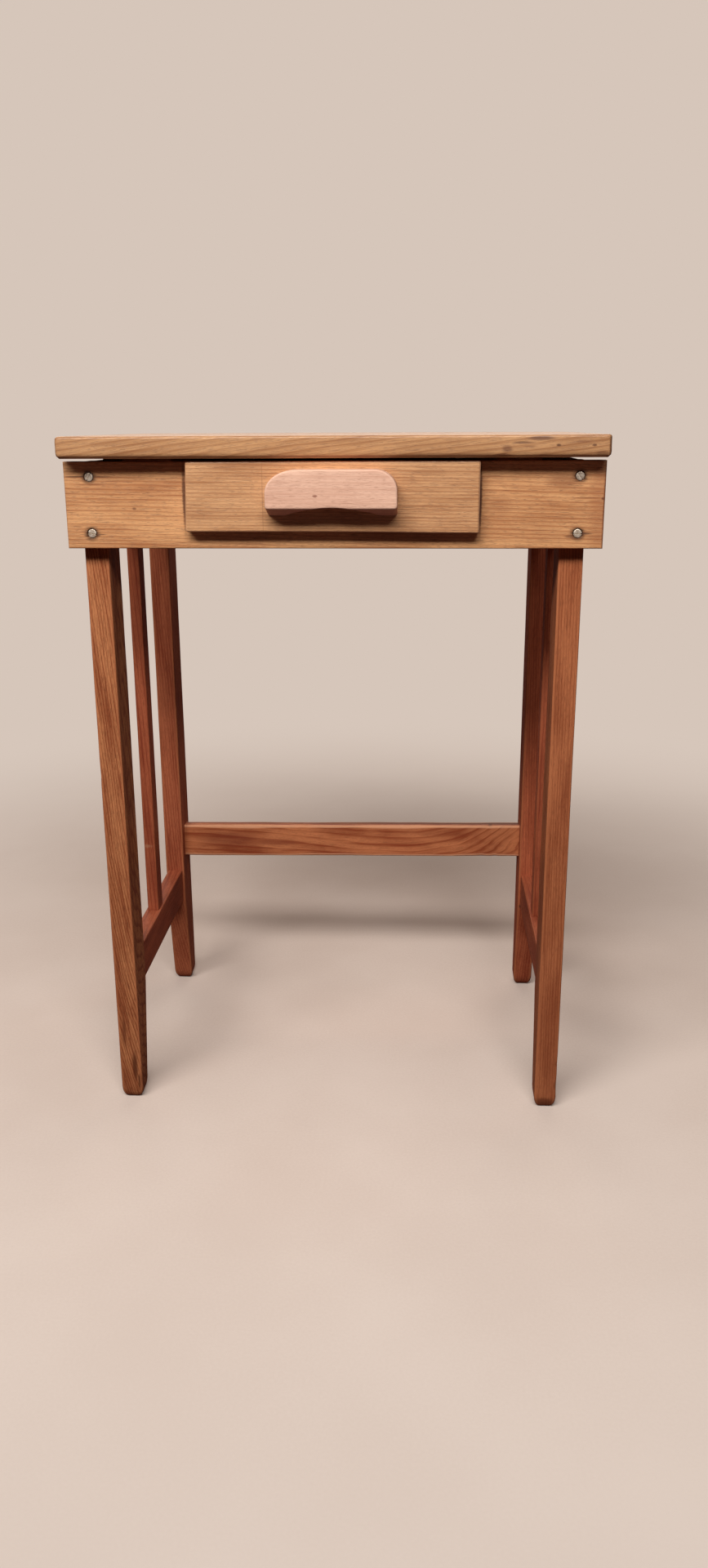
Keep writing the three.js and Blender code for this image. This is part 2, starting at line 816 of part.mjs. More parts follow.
const nailHoles = nailPlaces.map((place) => nailShape(place, fit));
piece('drawer_back', cut(
  bar(
    [-backHalf, drawerBackFront, bottomTop + seat],
    [backHalf, boxBack - fit, drawerTop],
    'x',
    drawerBoardArris,
    0,
    1,
  ),
  ...nailHoles,
), insideWood(), drawer);
piece('drawer_bottom', cut(
  block([-bottomHalf, bottomFront, bottomTop - bottomThickness], [bottomHalf, boxBack - fit, bottomTop]),
  ...nailHoles,
), insideWood(), drawer);
fasteners('drawer_bottom_nail', nailPlaces.map((place) => nailShape(place, 0)), drawer);

// Drawer front: a thicker board that overlaps the notch on three sides, with soft arrises.
const halfFront = drawerFrontWidth / 2;
piece('drawer_front', cut(
  bar(
    [-halfFront, drawerFrontFace, drawerFrontBottom],
    [halfFront, drawerFrontBack, drawerFrontBottom + drawerFrontHeight],
    'y',
    drawerFrontCornerRadius,
    drawerFrontArris,
    3,
  ),
  ...coverScrewHoles,
  ...pullScrewHoles,
), oak(), drawer);

// Pull: a block with a broad hand-shaped curve at each upper corner. Its underside falls towards the
// drawer front, an arch is cut through it, and a cove inside the arch takes the fingertips.
function pullOutline(inset) {
  const half = pullWidth / 2 - inset;
  const low = pullFrontBottom - pullSlopeDrop + inset;
  const high = pullFrontBottom + pullFrontHeight - inset;
  const radius = pullFootRadius;
  const outline = new THREE.Shape();
  outline.moveTo(half, low + radius);
  outline.absellipse(
    half - pullRightCornerWidth, high - pullRightCornerHeight,
    pullRightCornerWidth, pullRightCornerHeight, 0, Math.PI / 2, false, 0,
  );
  outline.absellipse(
    pullLeftCornerWidth - half, high - pullLeftCornerHeight,
    pullLeftCornerWidth, pullLeftCornerHeight, Math.PI / 2, Math.PI, false, 0,
  );
  outline.absarc(radius - half, low + radius, radius, Math.PI, 1.5 * Math.PI, false);
  outline.absarc(half - radius, low + radius, radius, 1.5 * Math.PI, 2 * Math.PI, false);
  return outline;
}

function pullBlank() {
  const geometry = new THREE.ExtrudeGeometry(pullOutline(pullArris), {
    depth: pullDepth - pullArris,
    steps: 1,
    curveSegments: 8,
    bevelEnabled: true,
    bevelSize: pullArris,
    bevelThickness: pullArris,
    bevelSegments: 2,
  });
  geometry.rotateX(Math.PI / 2);
  const blank = solid(geometry.translate(0, pullBack, 0));
  const beyond = block(
    [-pullWidth, pullBack, boardBottom],
    [pullWidth, pullBack + pullDepth, boardTop],
  );
  return cut(blank, beyond);
}

// A wedge under the pull makes the slope of its underside.
function pullSlope() {
  const low = pullFrontBottom - pullSlopeDrop;
  const outline = new THREE.Shape();
  outline.moveTo(pullFace - overrun, low - overrun);
  outline.lineTo(pullBack, low - overrun);
  outline.lineTo(pullBack, low);
  outline.lineTo(pullFace, pullFrontBottom);
  outline.lineTo(pullFace - overrun, pullFrontBottom);
  const geometry = new THREE.ExtrudeGeometry(outline, { depth: 2 * pullWidth, steps: 1, bevelEnabled: false });
  geometry.applyMatrix4(new THREE.Matrix4().makeBasis(Y, Z, X));
  return solid(geometry.translate(-pullWidth, 0, 0));
}

function pullArch() {
  const radius = (archHalfWidth ** 2 + archRise ** 2) / (2 * archRise);
  const arch = new THREE.CylinderGeometry(radius, radius, pullDepth + 2 * overrun, 96);
  const low = pullFrontBottom - pullSlopeDrop;
  return solid(arch.translate(0, (pullFace + pullBack) / 2, low + archRise - radius));
}

function pullCove() {
  const cove = new THREE.SphereGeometry(1, 24, 16);
  cove.scale(coveHalfWidth, coveHalfDepth, coveRise);
  const low = pullFrontBottom - pullSlopeDrop;
  return solid(cove.translate(0, pullFace + coveLip + coveHalfDepth, low));
}

piece('drawer_pull', cut(
  pullBlank(),
  pullSlope(),
  pullArch(),
  pullCove(),
  ...pullScrewHoles,
), paleWood(), drawer);

fasteners('drawer_front_screw', coverScrewPlaces.map(
  (place) => screw(place, intoRear, frontScrewLength),
), drawer);
fasteners('pull_screw', pullScrewPlaces.map(
  (place) => screw(place, intoRear, pullScrewLength),
), drawer);

drawer.position.x = drawerShift;
desk.position.y = -floorMiddle;

export default desk;
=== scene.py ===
import math

import bmesh
import bpy
import numpy as np
from mathutils import Matrix, Vector


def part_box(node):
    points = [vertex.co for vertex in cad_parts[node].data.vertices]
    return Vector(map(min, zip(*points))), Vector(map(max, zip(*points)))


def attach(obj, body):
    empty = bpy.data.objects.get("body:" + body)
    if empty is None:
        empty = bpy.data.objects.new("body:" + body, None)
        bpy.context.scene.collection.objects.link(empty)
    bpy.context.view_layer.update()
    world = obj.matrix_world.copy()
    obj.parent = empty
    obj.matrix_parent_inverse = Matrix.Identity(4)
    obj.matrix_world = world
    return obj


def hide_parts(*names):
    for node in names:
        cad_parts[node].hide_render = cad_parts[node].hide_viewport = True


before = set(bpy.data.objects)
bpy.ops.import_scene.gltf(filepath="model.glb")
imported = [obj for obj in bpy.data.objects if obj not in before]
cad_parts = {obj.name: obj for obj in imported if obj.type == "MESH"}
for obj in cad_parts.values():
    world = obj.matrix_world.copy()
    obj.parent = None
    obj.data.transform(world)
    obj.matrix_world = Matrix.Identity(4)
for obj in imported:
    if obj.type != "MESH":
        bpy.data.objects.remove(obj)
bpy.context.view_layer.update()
scene = bpy.context.scene

# The studio. The desk stands on a pale floor that curves up far behind it. A soft lamp hangs in front
# of the desk and a little to the left, higher than the top, and a weaker broad one hangs behind it.
# The camera stands a little to the right of the middle and looks down on the drawer.
MM = 0.001


class Socket:
    """A value in a material. Sums, products and powers of values add their Math nodes."""

    def __init__(self, tree, socket):
        self.tree = tree
        self.socket = socket

    def new(self, kind, settings=None, inputs=None, output=0):
        """Adds a node: its settings first, then the values or links of its sockets."""
        node = self.tree.nodes.new(kind)
        for key, value in (settings or {}).items():
            setattr(node, key, value)
        for key, value in (inputs or {}).items():
            if isinstance(value, Socket):
                self.tree.links.new(value.socket, node.inputs[key])
            else:
                node.inputs[key].default_value = value
        return Socket(self.tree, node.outputs[output])

    def math(self, operation, *others):
        values = dict(enumerate((self, *others)))
        return self.new("ShaderNodeMath", {"operation": operation}, values)

    def __add__(self, other):
        return self.math("ADD", other)

    __radd__ = __add__

    def __sub__(self, other):
        return self.math("SUBTRACT", other)

    def __rsub__(self, other):
        return (self * -1.0) + other

    def __mul__(self, other):
        return self.math("MULTIPLY", other)

    __rmul__ = __mul__

    def __truediv__(self, other):
        return self.math("DIVIDE", other)

    def __pow__(self, other):
        return self.math("POWER", other)

    def step(self, low, high):
        """Rises smoothly from 0 at low to 1 at high."""
        return self.new(
            "ShaderNodeMapRange",
            {"interpolation_type": "SMOOTHSTEP"},
            {"Value": self, "From Min": low, "From Max": high},
        )

    def mix(self, under, over):
        """Goes from one colour to the other as this value goes from 0 to 1."""
        return self.new("ShaderNodeMix", {"data_type": "RGBA"}, {0: self, 6: under, 7: over}, 2)


def blank(name):
    """A new material: its tree and its shader, with nothing else in it."""
    material = bpy.data.materials.new(name)
    material.use_nodes = True
    tree = material.node_tree
    tree.nodes.clear()
    shader = tree.nodes.new("ShaderNodeBsdfPrincipled")
    output = tree.nodes.new("ShaderNodeOutputMaterial")
    tree.links.new(shader.outputs[0], output.inputs[0])
    return material, tree, shader


def places(tree):
    """The three object coordinates, in millimetres."""
    start = Socket(tree, None)
    spot = start.new("ShaderNodeTexCoord", output="Object")
    parts = [start.new("ShaderNodeSeparateXYZ", None, {0: spot}, k) for k in range(3)]
    return [part * (1.0 / MM) for part in parts]


def noise(x, y, z, detail, rough=0.5):
    """Smooth noise from 0 to 1, one grain per unit of each coordinate."""
    vector = x.new("ShaderNodeCombineXYZ", None, {0: x, 1: y, 2: z})
    values = {"Vector": vector, "Scale": 1.0, "Detail": detail, "Roughness": rough}
    return x.new("ShaderNodeTexNoise", None, values)


def tone(red, green, blue):
    """A colour as it is read off a screen, from 0 to 255, made linear."""
    share = np.array([red, green, blue]) / 255.0
    linear = np.where(share <= 0.04045, share / 12.92, ((share + 0.055) / 1.055) ** 2.4)
    return (*linear.tolist(), 1.0)


def mesh_object(name, points, faces, material, attributes=None, closed=True):
    """A mesh in place, with its object at the origin and sharp edges where it bends by more than 38
    degrees. A closed one is merged where its grids meet and turned outwards."""
    mesh = bpy.data.meshes.new(name)
    mesh.from_pydata(np.asarray(points, float).tolist(), [], faces)
    for key, values in (attributes or {}).items():
        attribute = mesh.attributes.new(key, "FLOAT", "POINT")
        attribute.data.foreach_set("value", np.asarray(values, np.float32))
    if closed:
        work = bmesh.new()
        work.from_mesh(mesh)
        bmesh.ops.remove_doubles(work, verts=work.verts, dist=2e-6)
        bmesh.ops.recalc_face_normals(work, faces=work.faces)
        work.to_mesh(mesh)
        work.free()
    mesh.polygons.foreach_set("use_smooth", np.full(len(mesh.polygons), True))
    mesh.set_sharp_from_angle(angle=math.radians(38.0))
    mesh.materials.append(material)
    mesh.update()
    made = bpy.data.objects.new(name, mesh)
    scene.collection.objects.link(made)
    return made


def grid_quads(rows, columns):
    """The quads of a grid of points that are numbered row by row."""
    i, j = np.meshgrid(np.arange(rows - 1), np.arange(columns - 1), indexing="ij")
    corner = (i * columns + j).ravel()
    return np.stack([corner, corner + 1, corner + columns + 1, corner + columns], -1)


STUDIO_PALE = tone(214, 198, 186)


def pale_floor():
    """A pale, faintly mottled floor that fades into the even backdrop. The camera and gloss see it pale,
    and it lights the desk as a darker one would."""
    material, tree, shader = blank("pale_floor")
    x, y, z = places(tree)
    cloud = noise(x / 260.0, y / 260.0, z / 260.0, 4.0)
    grit = noise(x / 3.0, y / 3.0, z / 3.0, 3.0)
    seen = x.new("ShaderNodeLightPath", output="Is Camera Ray")
    mirrored = x.new("ShaderNodeLightPath", output="Is Glossy Ray")
    pale = (cloud * 0.7 + grit * 0.3).step(0.3, 0.7).mix(tone(226, 207, 195), tone(236, 219, 208))
    tree.links.new(seen.mix(tone(88, 58, 54), pale).socket, shader.inputs["Base Color"])
    shader.inputs["Roughness"].default_value = 0.9
    ahead = y - 250.0
    far = ((x * x + ahead * ahead) ** 0.5 + z * 2.0).step(250.0, 1500.0)
    glow = x.new("ShaderNodeEmission", None, {"Color": STUDIO_PALE, "Strength": 1.0})
    share = (far * seen).math("MAXIMUM", mirrored * z.step(450.0, 900.0))
    blend = x.new("ShaderNodeMixShader", None, {0: share, 1: Socket(tree, shader.outputs[0]), 2: glow})
    output = next(node for node in tree.nodes if node.type == "OUTPUT_MATERIAL")
    tree.links.new(blend.socket, output.inputs[0])
    return material


# Floor and backdrop: a profile in y and z, straight, then a quarter circle, then straight up, carried
# along x.
BEND_START = 2.2
BEND_RADIUS = 1.4
bend = np.linspace(0, math.pi / 2, 25)
profile_y = np.concatenate([[-6.0, -1.0], BEND_START + BEND_RADIUS * np.append(np.sin(bend), 1.0)])
profile_z = np.concatenate([[0.0, 0.0], BEND_RADIUS * (1 - np.cos(bend)), [6.0]])
width_x = np.linspace(-7.0, 7.0, 15)
sweep = np.stack(np.broadcast_arrays(width_x[None, :], profile_y[:, None], profile_z[:, None]), -1)
sweep_quads = grid_quads(*sweep.shape[:2]).tolist()
floor = mesh_object("floor", sweep.reshape(-1, 3), sweep_quads, pale_floor(), closed=False)

world = bpy.data.worlds.new("even_light")
world.use_nodes = True
world_tree = world.node_tree
world_tree.nodes.clear()
world_start = Socket(world_tree, None)
world_tint = (1.0, 0.72, 0.66, 1.0)
world_dim = world_start.new("ShaderNodeBackground", None, {"Color": world_tint, "Strength": 0.02})
world_seen = world_start.new("ShaderNodeBackground", None, {"Color": STUDIO_PALE, "Strength": 1.0})
world_mirrored = world_start.new("ShaderNodeLightPath", output="Is Glossy Ray") * 0.2
world_share = world_start.new("ShaderNodeLightPath", output="Is Camera Ray").math("MAXIMUM", world_mirrored)
world_mix = world_start.new("ShaderNodeMixShader", None, {0: world_share, 1: world_dim, 2: world_seen})
world_output = world_tree.nodes.new("ShaderNodeOutputWorld")
world_tree.links.new(world_mix.socket, world_output.inputs[0])
scene.world = world

for lamp_name, lamp_place, lamp_aim, width, height, energy, lamp_tone in (
    ("soft_lamp", (-0.32, -1.67, 2.12), (0, -0.17, 0.45), 2.8, 0.55, 69, (1, 0.97, 0.93)),
    ("rear_lamp", (0, 2.5, 2.2), (0, 0.2, 0.4), 4, 1.5, 30, (1, 0.86, 0.76)),
):
    lamp_data = bpy.data.lights.new(lamp_name, "AREA")
    lamp_data.shape = "ELLIPSE"
    lamp_data.size = width
    lamp_data.size_y = height
    lamp_data.energy = energy
    lamp_data.color = lamp_tone
    lamp = bpy.data.objects.new(lamp_name, lamp_data)
    lamp_turn = (Vector(lamp_aim) - Vector(lamp_place)).to_track_quat("-Z", "Y")
    lamp.matrix_world = Matrix.Translation(lamp_place) @ lamp_turn.to_matrix().to_4x4()
    scene.collection.objects.link(lamp)

CAMERA_PLACE = Vector((86.77, -1378.27, 766.7)) * MM
CAMERA_LENS = 27.138375
YAW, PITCH, ROLL = (math.radians(v) for v in (3.133, 16.913, -0.275))
view_forward = Vector((-math.sin(YAW) * math.cos(PITCH), math.cos(YAW) * math.cos(PITCH), -math.sin(PITCH)))
view_right = Vector((math.cos(YAW), math.sin(YAW), 0.0))
view_up = view_right.cross(view_forward)
turned_right = math.cos(ROLL) * view_right + math.sin(ROLL) * view_up
turned_up = math.cos(ROLL) * view_up - math.sin(ROLL) * view_right
camera_data = bpy.data.cameras.new("camera")
camera_data.sensor_width = 36.0
camera_data.lens = CAMERA_LENS
camera = bpy.data.objects.new("camera", camera_data)
camera_turn = Matrix((turned_right, turned_up, -view_forward)).transposed().to_4x4()
camera.matrix_world = Matrix.Translation(CAMERA_PLACE) @ camera_turn
scene.collection.objects.link(camera)
scene.camera = camera
scene.view_settings.view_transform = "Standard"

# The legs are straight oak, stained a warm brown and thinly varnished. Below the side stretchers the
# inner side tapers towards the foot, whose edges are worn round. The arrises are eased by hand, more
# in some places than in others.
ARC_STEPS = 4
LINE_BESIDE_ARC = 2.2
LEG_ARRIS = 1.3
LEG_TOP_EASE = 0.6
FOOT_DEPTH = 25.0
FOOT_ROUND_WIDTH = 6.2
FOOT_ROUND_HEIGHT = 15.0


def wander(*spots, seed):
    """Smooth uneven waves from -1 to 1: a sum of sines of all the places, at unlike rates."""
    total = 0.0
    for k, (rate, weight) in enumerate(((1.0, 0.5), (1.93, 0.3), (3.71, 0.2))):
        turn = sum(rate * (1.0 + 0.37 * j) * spot for j, spot in enumerate(spots))
        total = total + weight * np.sin(turn + seed * (k + 1.7) + 2.1 * k)
    return total


def section(half_width, half_height, radius):
    """Rounded rectangles, one for each entry of the sizes: four quarter circles joined by straight
    sides that have a point near each end and one in the middle. The second result is 1 on the arcs."""
    half_width, half_height = (np.atleast_1d(v)[:, None] for v in (half_width, half_height))
    radius = np.minimum(radius, np.minimum(half_width, half_height) * 0.98)
    points = []
    wear_and_highlight = []
    for corner_number in range(4):
        angle = (corner_number + np.linspace(0, 1, ARC_STEPS + 1)) * math.pi / 2
        sign_x = 1.0 if corner_number in (0, 3) else -1.0
        sign_y = 1.0 if corner_number in (0, 1) else -1.0
        r = radius[:, corner_number, None]
        x = sign_x * (half_width - r) + r * np.cos(angle)
        y = sign_y * (half_height - r) + r * np.sin(angle)
        points.append(np.stack([x, y], -1))
        wear_and_highlight.append(np.ones(ARC_STEPS + 1))
        nxt = (corner_number + 1) % 4
        along_x = corner_number in (0, 2)
        end = radius[:, nxt, None]
        side = (half_width if along_x else half_height) * 2 - r - end
        near = np.minimum(LINE_BESIDE_ARC, side * 0.3)
        steps = np.concatenate([near, side / 2, side - near], 1)
        last = points[-1][:, -1:]
        way = np.array(((-1, 0), (0, -1), (1, 0), (0, 1))[corner_number])
        points.append(last + steps[:, :, None] * way)
        wear_and_highlight.append(np.zeros(3))
    return np.concatenate(points, 1), np.concatenate(wear_and_highlight)


def ring_faces(rings, count):
    """Quads between neighbouring rings of equal count, and fans to a middle point at both ends."""
    k, j = np.meshgrid(np.arange(rings - 1), np.arange(count), indexing="ij")
    a = k * count + j
    b = k * count + (j + 1) % count
    quads = np.stack([a, b, b + count, a + count], -1).reshape(-1, 4).tolist()
    ring = np.arange(count)
    after = (ring + 1) % count
    first = rings * count
    top = (rings - 1) * count
    fans = np.concatenate([
        np.stack([np.full(count, first), after, ring], -1),
        np.stack([np.full(count, first + 1), top + ring, top + after], -1),
    ]).tolist()
    return quads + fans


def carried(name, rings, wear_and_highlight, material):
    """A closed surface over rings of points, given as an array of rings, points and coordinates in mm."""
    middles = rings[[0, -1]].mean(1)
    points = np.concatenate([rings.reshape(-1, 3), middles])
    mask = np.append(wear_and_highlight, [0.0, 0.0])
    return mesh_object(name, points * MM, ring_faces(*rings.shape[:2]), material, {"arris": mask})


def dented(points, dents):
    """Points moved by soft dents: each has a place, a reach and a push, all in mm. The push fades as e
    to the power of minus the square of the distance, counted in reaches."""
    for place, reach, push in dents:
        far = np.linalg.norm((points - place) / np.array(reach), axis=-1)
        points = points + np.exp(-far[..., None] ** 2) * np.array(push)
    return points


def low_high(node):
    """A CAD node's lowest and highest corner in mm."""
    return [np.array(corner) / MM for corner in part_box(node)]


def face_marks(rows, y=0.0, deep=0.0):
    """Stains and painted shade on a face that looks forward: rows of x, z, the reach in both, a colour and a
    share. Those without a depth go right through the piece."""
    return [((x, y, z), (wide, deep, tall), tone(*colour), share) for x, z, wide, tall, colour, share in rows]


def dress(made, node, body="desk_frame"):
    """Puts a finished piece in the place of its CAD node."""
    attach(made, body)
    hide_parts(node)


def oak(
    name, along, light, dark, pore, seed, ring, pith, pores, slant=0.0, lean=0.02, wave=2.5, fade=0.5,
    grain=1.0, gloss=0.42, coat=0.0, sheen=0.1, wear_and_highlight=0.5, wear_and_highlight_tone=None, marks=(), turns=(),
):
    """Oak cut from a log. Growth rings are circles about a pith line that lies outside the piece and leans a
    little, so each face shows them as lines, arcs or flames. Pores are short dark streaks along the grain,
    closer together where a ring begins. Turns bend the grain from a place along it. Marks are stains and
    painted shade: place, reach, tone, share. The arrises are drawn towards a tone that is wear, and on some
    pieces also a painted highlight."""
    material, tree, shader = blank(name)
    x, y, z = places(tree)
    length, width, thick = {"x": (x, z, y), "y": (y, x, z), "z": (z, x, y)}[along]
    length = length + seed * 137.0
    drift = (noise(length / 170.0, width / 45.0, thick / 45.0, 2.0) - 0.5) * (2 * wave)
    w = width + length * slant + drift
    for start, way, rate in turns:
        w = w + ((length - (start + seed * 137.0)) * way).math("MAXIMUM", 0.0) ** 1.6 * rate
    t = thick + drift * 0.6 + seed * 11.0
    off_w = w + length * lean - pith[0]
    off_t = t - pith[1]
    around = (off_w * off_w + off_t * off_t) ** 0.5
    uneven = noise(length / 600.0, width / 14.0, thick / 14.0, 1.0)
    phase = (around / ring + uneven * 1.6).math("FRACT")
    early = phase.step(0.0, 0.12) * (1.0 - phase.step(0.3, 0.75))
    late = phase.step(0.55, 0.95) * (1.0 - phase.step(0.96, 1.0))
    fibre = noise(length / 38.0, w / 0.8, t / 0.8, 3.0, 0.6)
    broad = noise(length / 130.0, w / 9.0, t / 9.0, 2.0)
    cloud = noise(length / 90.0, width / 30.0, thick / 30.0, 2.0)
    streak = noise(length / 6.0, w / 0.42, t / 0.42, 1.0)
    longer = noise(length / 16.0, w / 0.6, t / 0.6, 1.0)
    open_pore = (streak + early * 0.07).step(0.62, 0.7) * 0.8
    long_pore = (longer + early * 0.06).step(0.67, 0.76)
    pit = open_pore.math("MAXIMUM", long_pore)
    depth = (fibre - 0.5) * grain + (broad - 0.5) * grain + (cloud - 0.5) * fade * 2.0
    depth = depth + late * 0.3 * grain - early * 0.1 + 0.44
    colour = depth.step(0.0, 1.0).mix(light, dark)
    colour = (pit * pores).mix(colour, pore)
    for place, reach, mark_tone, share in marks:
        parts = [((c - p) / r) for c, p, r in zip((x, y, z), place, reach) if r]
        far = parts[0] * parts[0]
        for part in parts[1:]:
            far = far + part * part
        ragged = (fibre - 0.5) * 0.9 + (streak - 0.5) * 0.5
        colour = ((1.0 - (far ** 0.5 + ragged).step(0.35, 1.0)) * share).mix(colour, mark_tone)
    edge = x.new("ShaderNodeAttribute", {"attribute_name": "arris"}, None, "Fac")
    # The arrises are mixed towards their own tone: wear, and on the rear stretcher and drawer front also a
    # painted highlight.
    rub_and_highlight = (edge * (0.45 + cloud * 1.1)).step(0.35, 1.0) * wear_and_highlight
    colour = rub_and_highlight.mix(colour, wear_and_highlight_tone or light)
    tree.links.new(colour.socket, shader.inputs["Base Color"])
    rough = pit * 0.22 + (1.0 - cloud) * 0.16 + (fibre - 0.5) * 0.12 + (gloss - 0.08)
    tree.links.new(rough.socket, shader.inputs["Roughness"])
    planing = noise(length / 30.0, width / 18.0, thick / 18.0, 1.0)
    height = fibre * 0.16 + late * 0.1 - pit * 0.75 + planing * 0.9
    bump = x.new("ShaderNodeBump", None, {"Strength": 0.5, "Distance": 0.0003, "Height": height})
    tree.links.new(bump.socket, shader.inputs["Normal"])
    shader.inputs["Coat Weight"].default_value = coat
    shader.inputs["Coat Roughness"].default_value = 0.3
    shader.inputs["Specular IOR Level"].default_value = sheen
    return material


BROWN_PORE = tone(62, 26, 16)
LEGS = {
    "front_leg_left": dict(
        light=tone(196, 128, 85), dark=tone(136, 70, 43), seed=1, slant=0.035, lean=0.05,
        pith=(34, -80), pores=0.55, grain=1.5, turns=((320, -1, -0.003),),
        marks=face_marks([
            (-241, 42, 4, 26, (74, 32, 20), 0.75),
            (-236, 22, 3, 14, (58, 26, 17), 0.8),
            (-251, 88, 3, 26, (96, 46, 29), 0.6),
        ]),
    ),
    "front_leg_right": dict(
        light=tone(188, 115, 76), dark=tone(142, 76, 48), seed=2.4, slant=-0.01, pith=(-20, -110),
        pores=0.35, grain=1.1,
        marks=face_marks([
            (253, 30, 3.2, 8, (52, 24, 16), 0.85),
            (253, 58, 2.6, 5, (60, 28, 18), 0.8),
            (240, 8, 16, 7, (78, 36, 24), 0.6),
            # Painted darker towards the foot.
            (0, 20, 0, 260, (146, 74, 46), 0.16),
        ]),
    ),
    "rear_leg_left": dict(
        light=tone(192, 110, 76), dark=tone(140, 66, 44), seed=3, slant=0.02, lean=0.03, pith=(60, 20),
        pores=0.4, grain=0.9,
    ),
    "rear_leg_right": dict(
        light=tone(196, 108, 74), dark=tone(144, 66, 44), seed=4, slant=-0.02, lean=0.04, pith=(-50, 60),
        pores=0.4, grain=0.9, marks=face_marks([(232, 130, 3, 3, (52, 24, 16), 0.8)]),
    ),
}

leg_height = low_high("front_leg_left")[1][2]
taper_top = low_high("side_stretcher_left")[0][2]
for number, (node, look) in enumerate(LEGS.items()):
    in_front = node.startswith("front")
    low, high = low_high(node)
    foot_turn = np.linspace(0, math.pi / 2, 7)
    z = np.concatenate([
        FOOT_ROUND_HEIGHT * (1 - np.cos(foot_turn)),
        np.linspace(FOOT_ROUND_HEIGHT + 5.0, taper_top, 14),
        np.linspace(taper_top + 8.0, leg_height - 2.0, 60),
        [leg_height - LEG_TOP_EASE, leg_height, leg_height],
    ])
    inset = np.zeros(z.size)
    inset[:foot_turn.size] = FOOT_ROUND_WIDTH * (1 - np.sin(foot_turn))
    inset[-2:] = (LEG_TOP_EASE, LEG_TOP_EASE + 2.0)
    depth = np.minimum(high[1] - low[1], FOOT_DEPTH + (high[1] - low[1] - FOOT_DEPTH) * z / taper_top)
    radius = LEG_ARRIS * (1.1 + 0.4 * wander(z[:, None] / 42.0, np.arange(4)[None, :] * 2.0, seed=number))
    radius = radius + 1.4 * np.exp(-z / 18.0)[:, None]
    outline, arris_share = section((high[0] - low[0]) / 2 - inset, depth / 2 - inset, radius)
    middle_y = low[1] + depth / 2 if in_front else high[1] - depth / 2
    rings = np.concatenate([
        outline[..., :1] + (low[0] + high[0]) / 2,
        outline[..., 1:] + middle_y[:, None, None],
        np.broadcast_to(z[:, None, None], (*outline.shape[:2], 1)),
    ], -1)
    outward = np.sign(outline)
    uneven = 0.12 * (1 + wander(rings[..., 2] / 55.0, rings[..., 0] / 9.0, seed=number + 3.0)) / 2
    rings[..., :2] -= outward * uneven[..., None] * (z > FOOT_ROUND_HEIGHT)[:, None, None]
    leg_dents = [
        ((high[0], low[1], 31), (5, 5, 9), (-0.4, 0.3, 0)),
        ((high[0], low[1], 58), (4, 4, 6), (-0.3, 0.25, 0)),
        ((low[0], low[1], 402), (3, 3, 7), (0.5, 0.4, 0)),
    ] if in_front else []
    rings = dented(rings, leg_dents)
    arris_mask = np.broadcast_to(arris_share, outline.shape[:2]).copy()
    leg_wear = {"wear_and_highlight": 0.45, "wear_and_highlight_tone": tone(196, 122, 82)}
    leg_oak = oak(f"{node}_oak", "z", pore=BROWN_PORE, ring=3.0, **leg_wear, **look)
    dress(carried(f"{node}_planed", rings, arris_mask, leg_oak), node)


# Each end frame has an upper rail, a low stretcher and one upright slat between them, glued into the
# legs and rails with tenons. They are the same stained oak, planed flat, with lightly eased arrises.
RAIL_TENON = 19.7
SLAT_TENON = 11.7
CAP = 1.6


def between_tenons(node, along, tenon):
    """A bar's lowest and highest corner in mm, without the tenons at its ends."""
    low, high = low_high(node)
    axis = "xyz".index(along)
    low[axis] += tenon
    high[axis] -= tenon
    return low, high


def planed_bar(low, high, along, radius, end, seed, dents, rough=0.12, gap=7.0):
    """Rings of a straight bar: a rounded rectangle carried from end to end, drawn in at both ends by a
    quarter circle. The arris radius wanders from place to place, and the faces sink a little here and
    there, so no point lies outside the given corners."""
    axis = "xyz".index(along)
    u, v = ((1, 2), (2, 0), (0, 1))[axis]
    span = high[axis] - low[axis]
    turn = np.linspace(0, math.pi / 2, 4)
    offset = end * (1 - np.cos(turn))
    drawn = end * (1 - np.sin(turn))
    inner = np.linspace(end + CAP, span - end - CAP, max(3, int(span / gap)))
    s = np.concatenate([[0.0], offset, inner, span - offset[::-1], [span]])
    inset = np.concatenate([[end + CAP], drawn, np.zeros(inner.size), drawn[::-1], [end + CAP]])
    corner_radius = radius * (1.05 + 0.35 * wander(s[:, None] / 33.0, np.arange(4)[None, :] * 2.0, seed=seed))
    corner_radius = np.maximum(corner_radius - inset[:, None], 0.15)
    half = (high - low) / 2
    outline, arris_share = section(half[u] - inset, half[v] - inset, corner_radius)
    rings = np.empty((*outline.shape[:2], 3))
    rings[..., u] = outline[..., 0] + (low[u] + high[u]) / 2
    rings[..., v] = outline[..., 1] + (low[v] + high[v]) / 2
    rings[..., axis] = (low[axis] + s)[:, None]
    sink = rough * (1 + wander(rings[..., axis] / 47.0, rings[..., u] / 11.0, seed=seed + 3.0)) / 2
    inside = ((s > end) & (s < span - end))[:, None]
    rings[..., u] -= np.sign(outline[..., 0]) * sink * inside
    rings[..., v] -= np.sign(outline[..., 1]) * sink * inside
    return dented(rings, dents), np.broadcast_to(arris_share, outline.shape[:2]).copy()


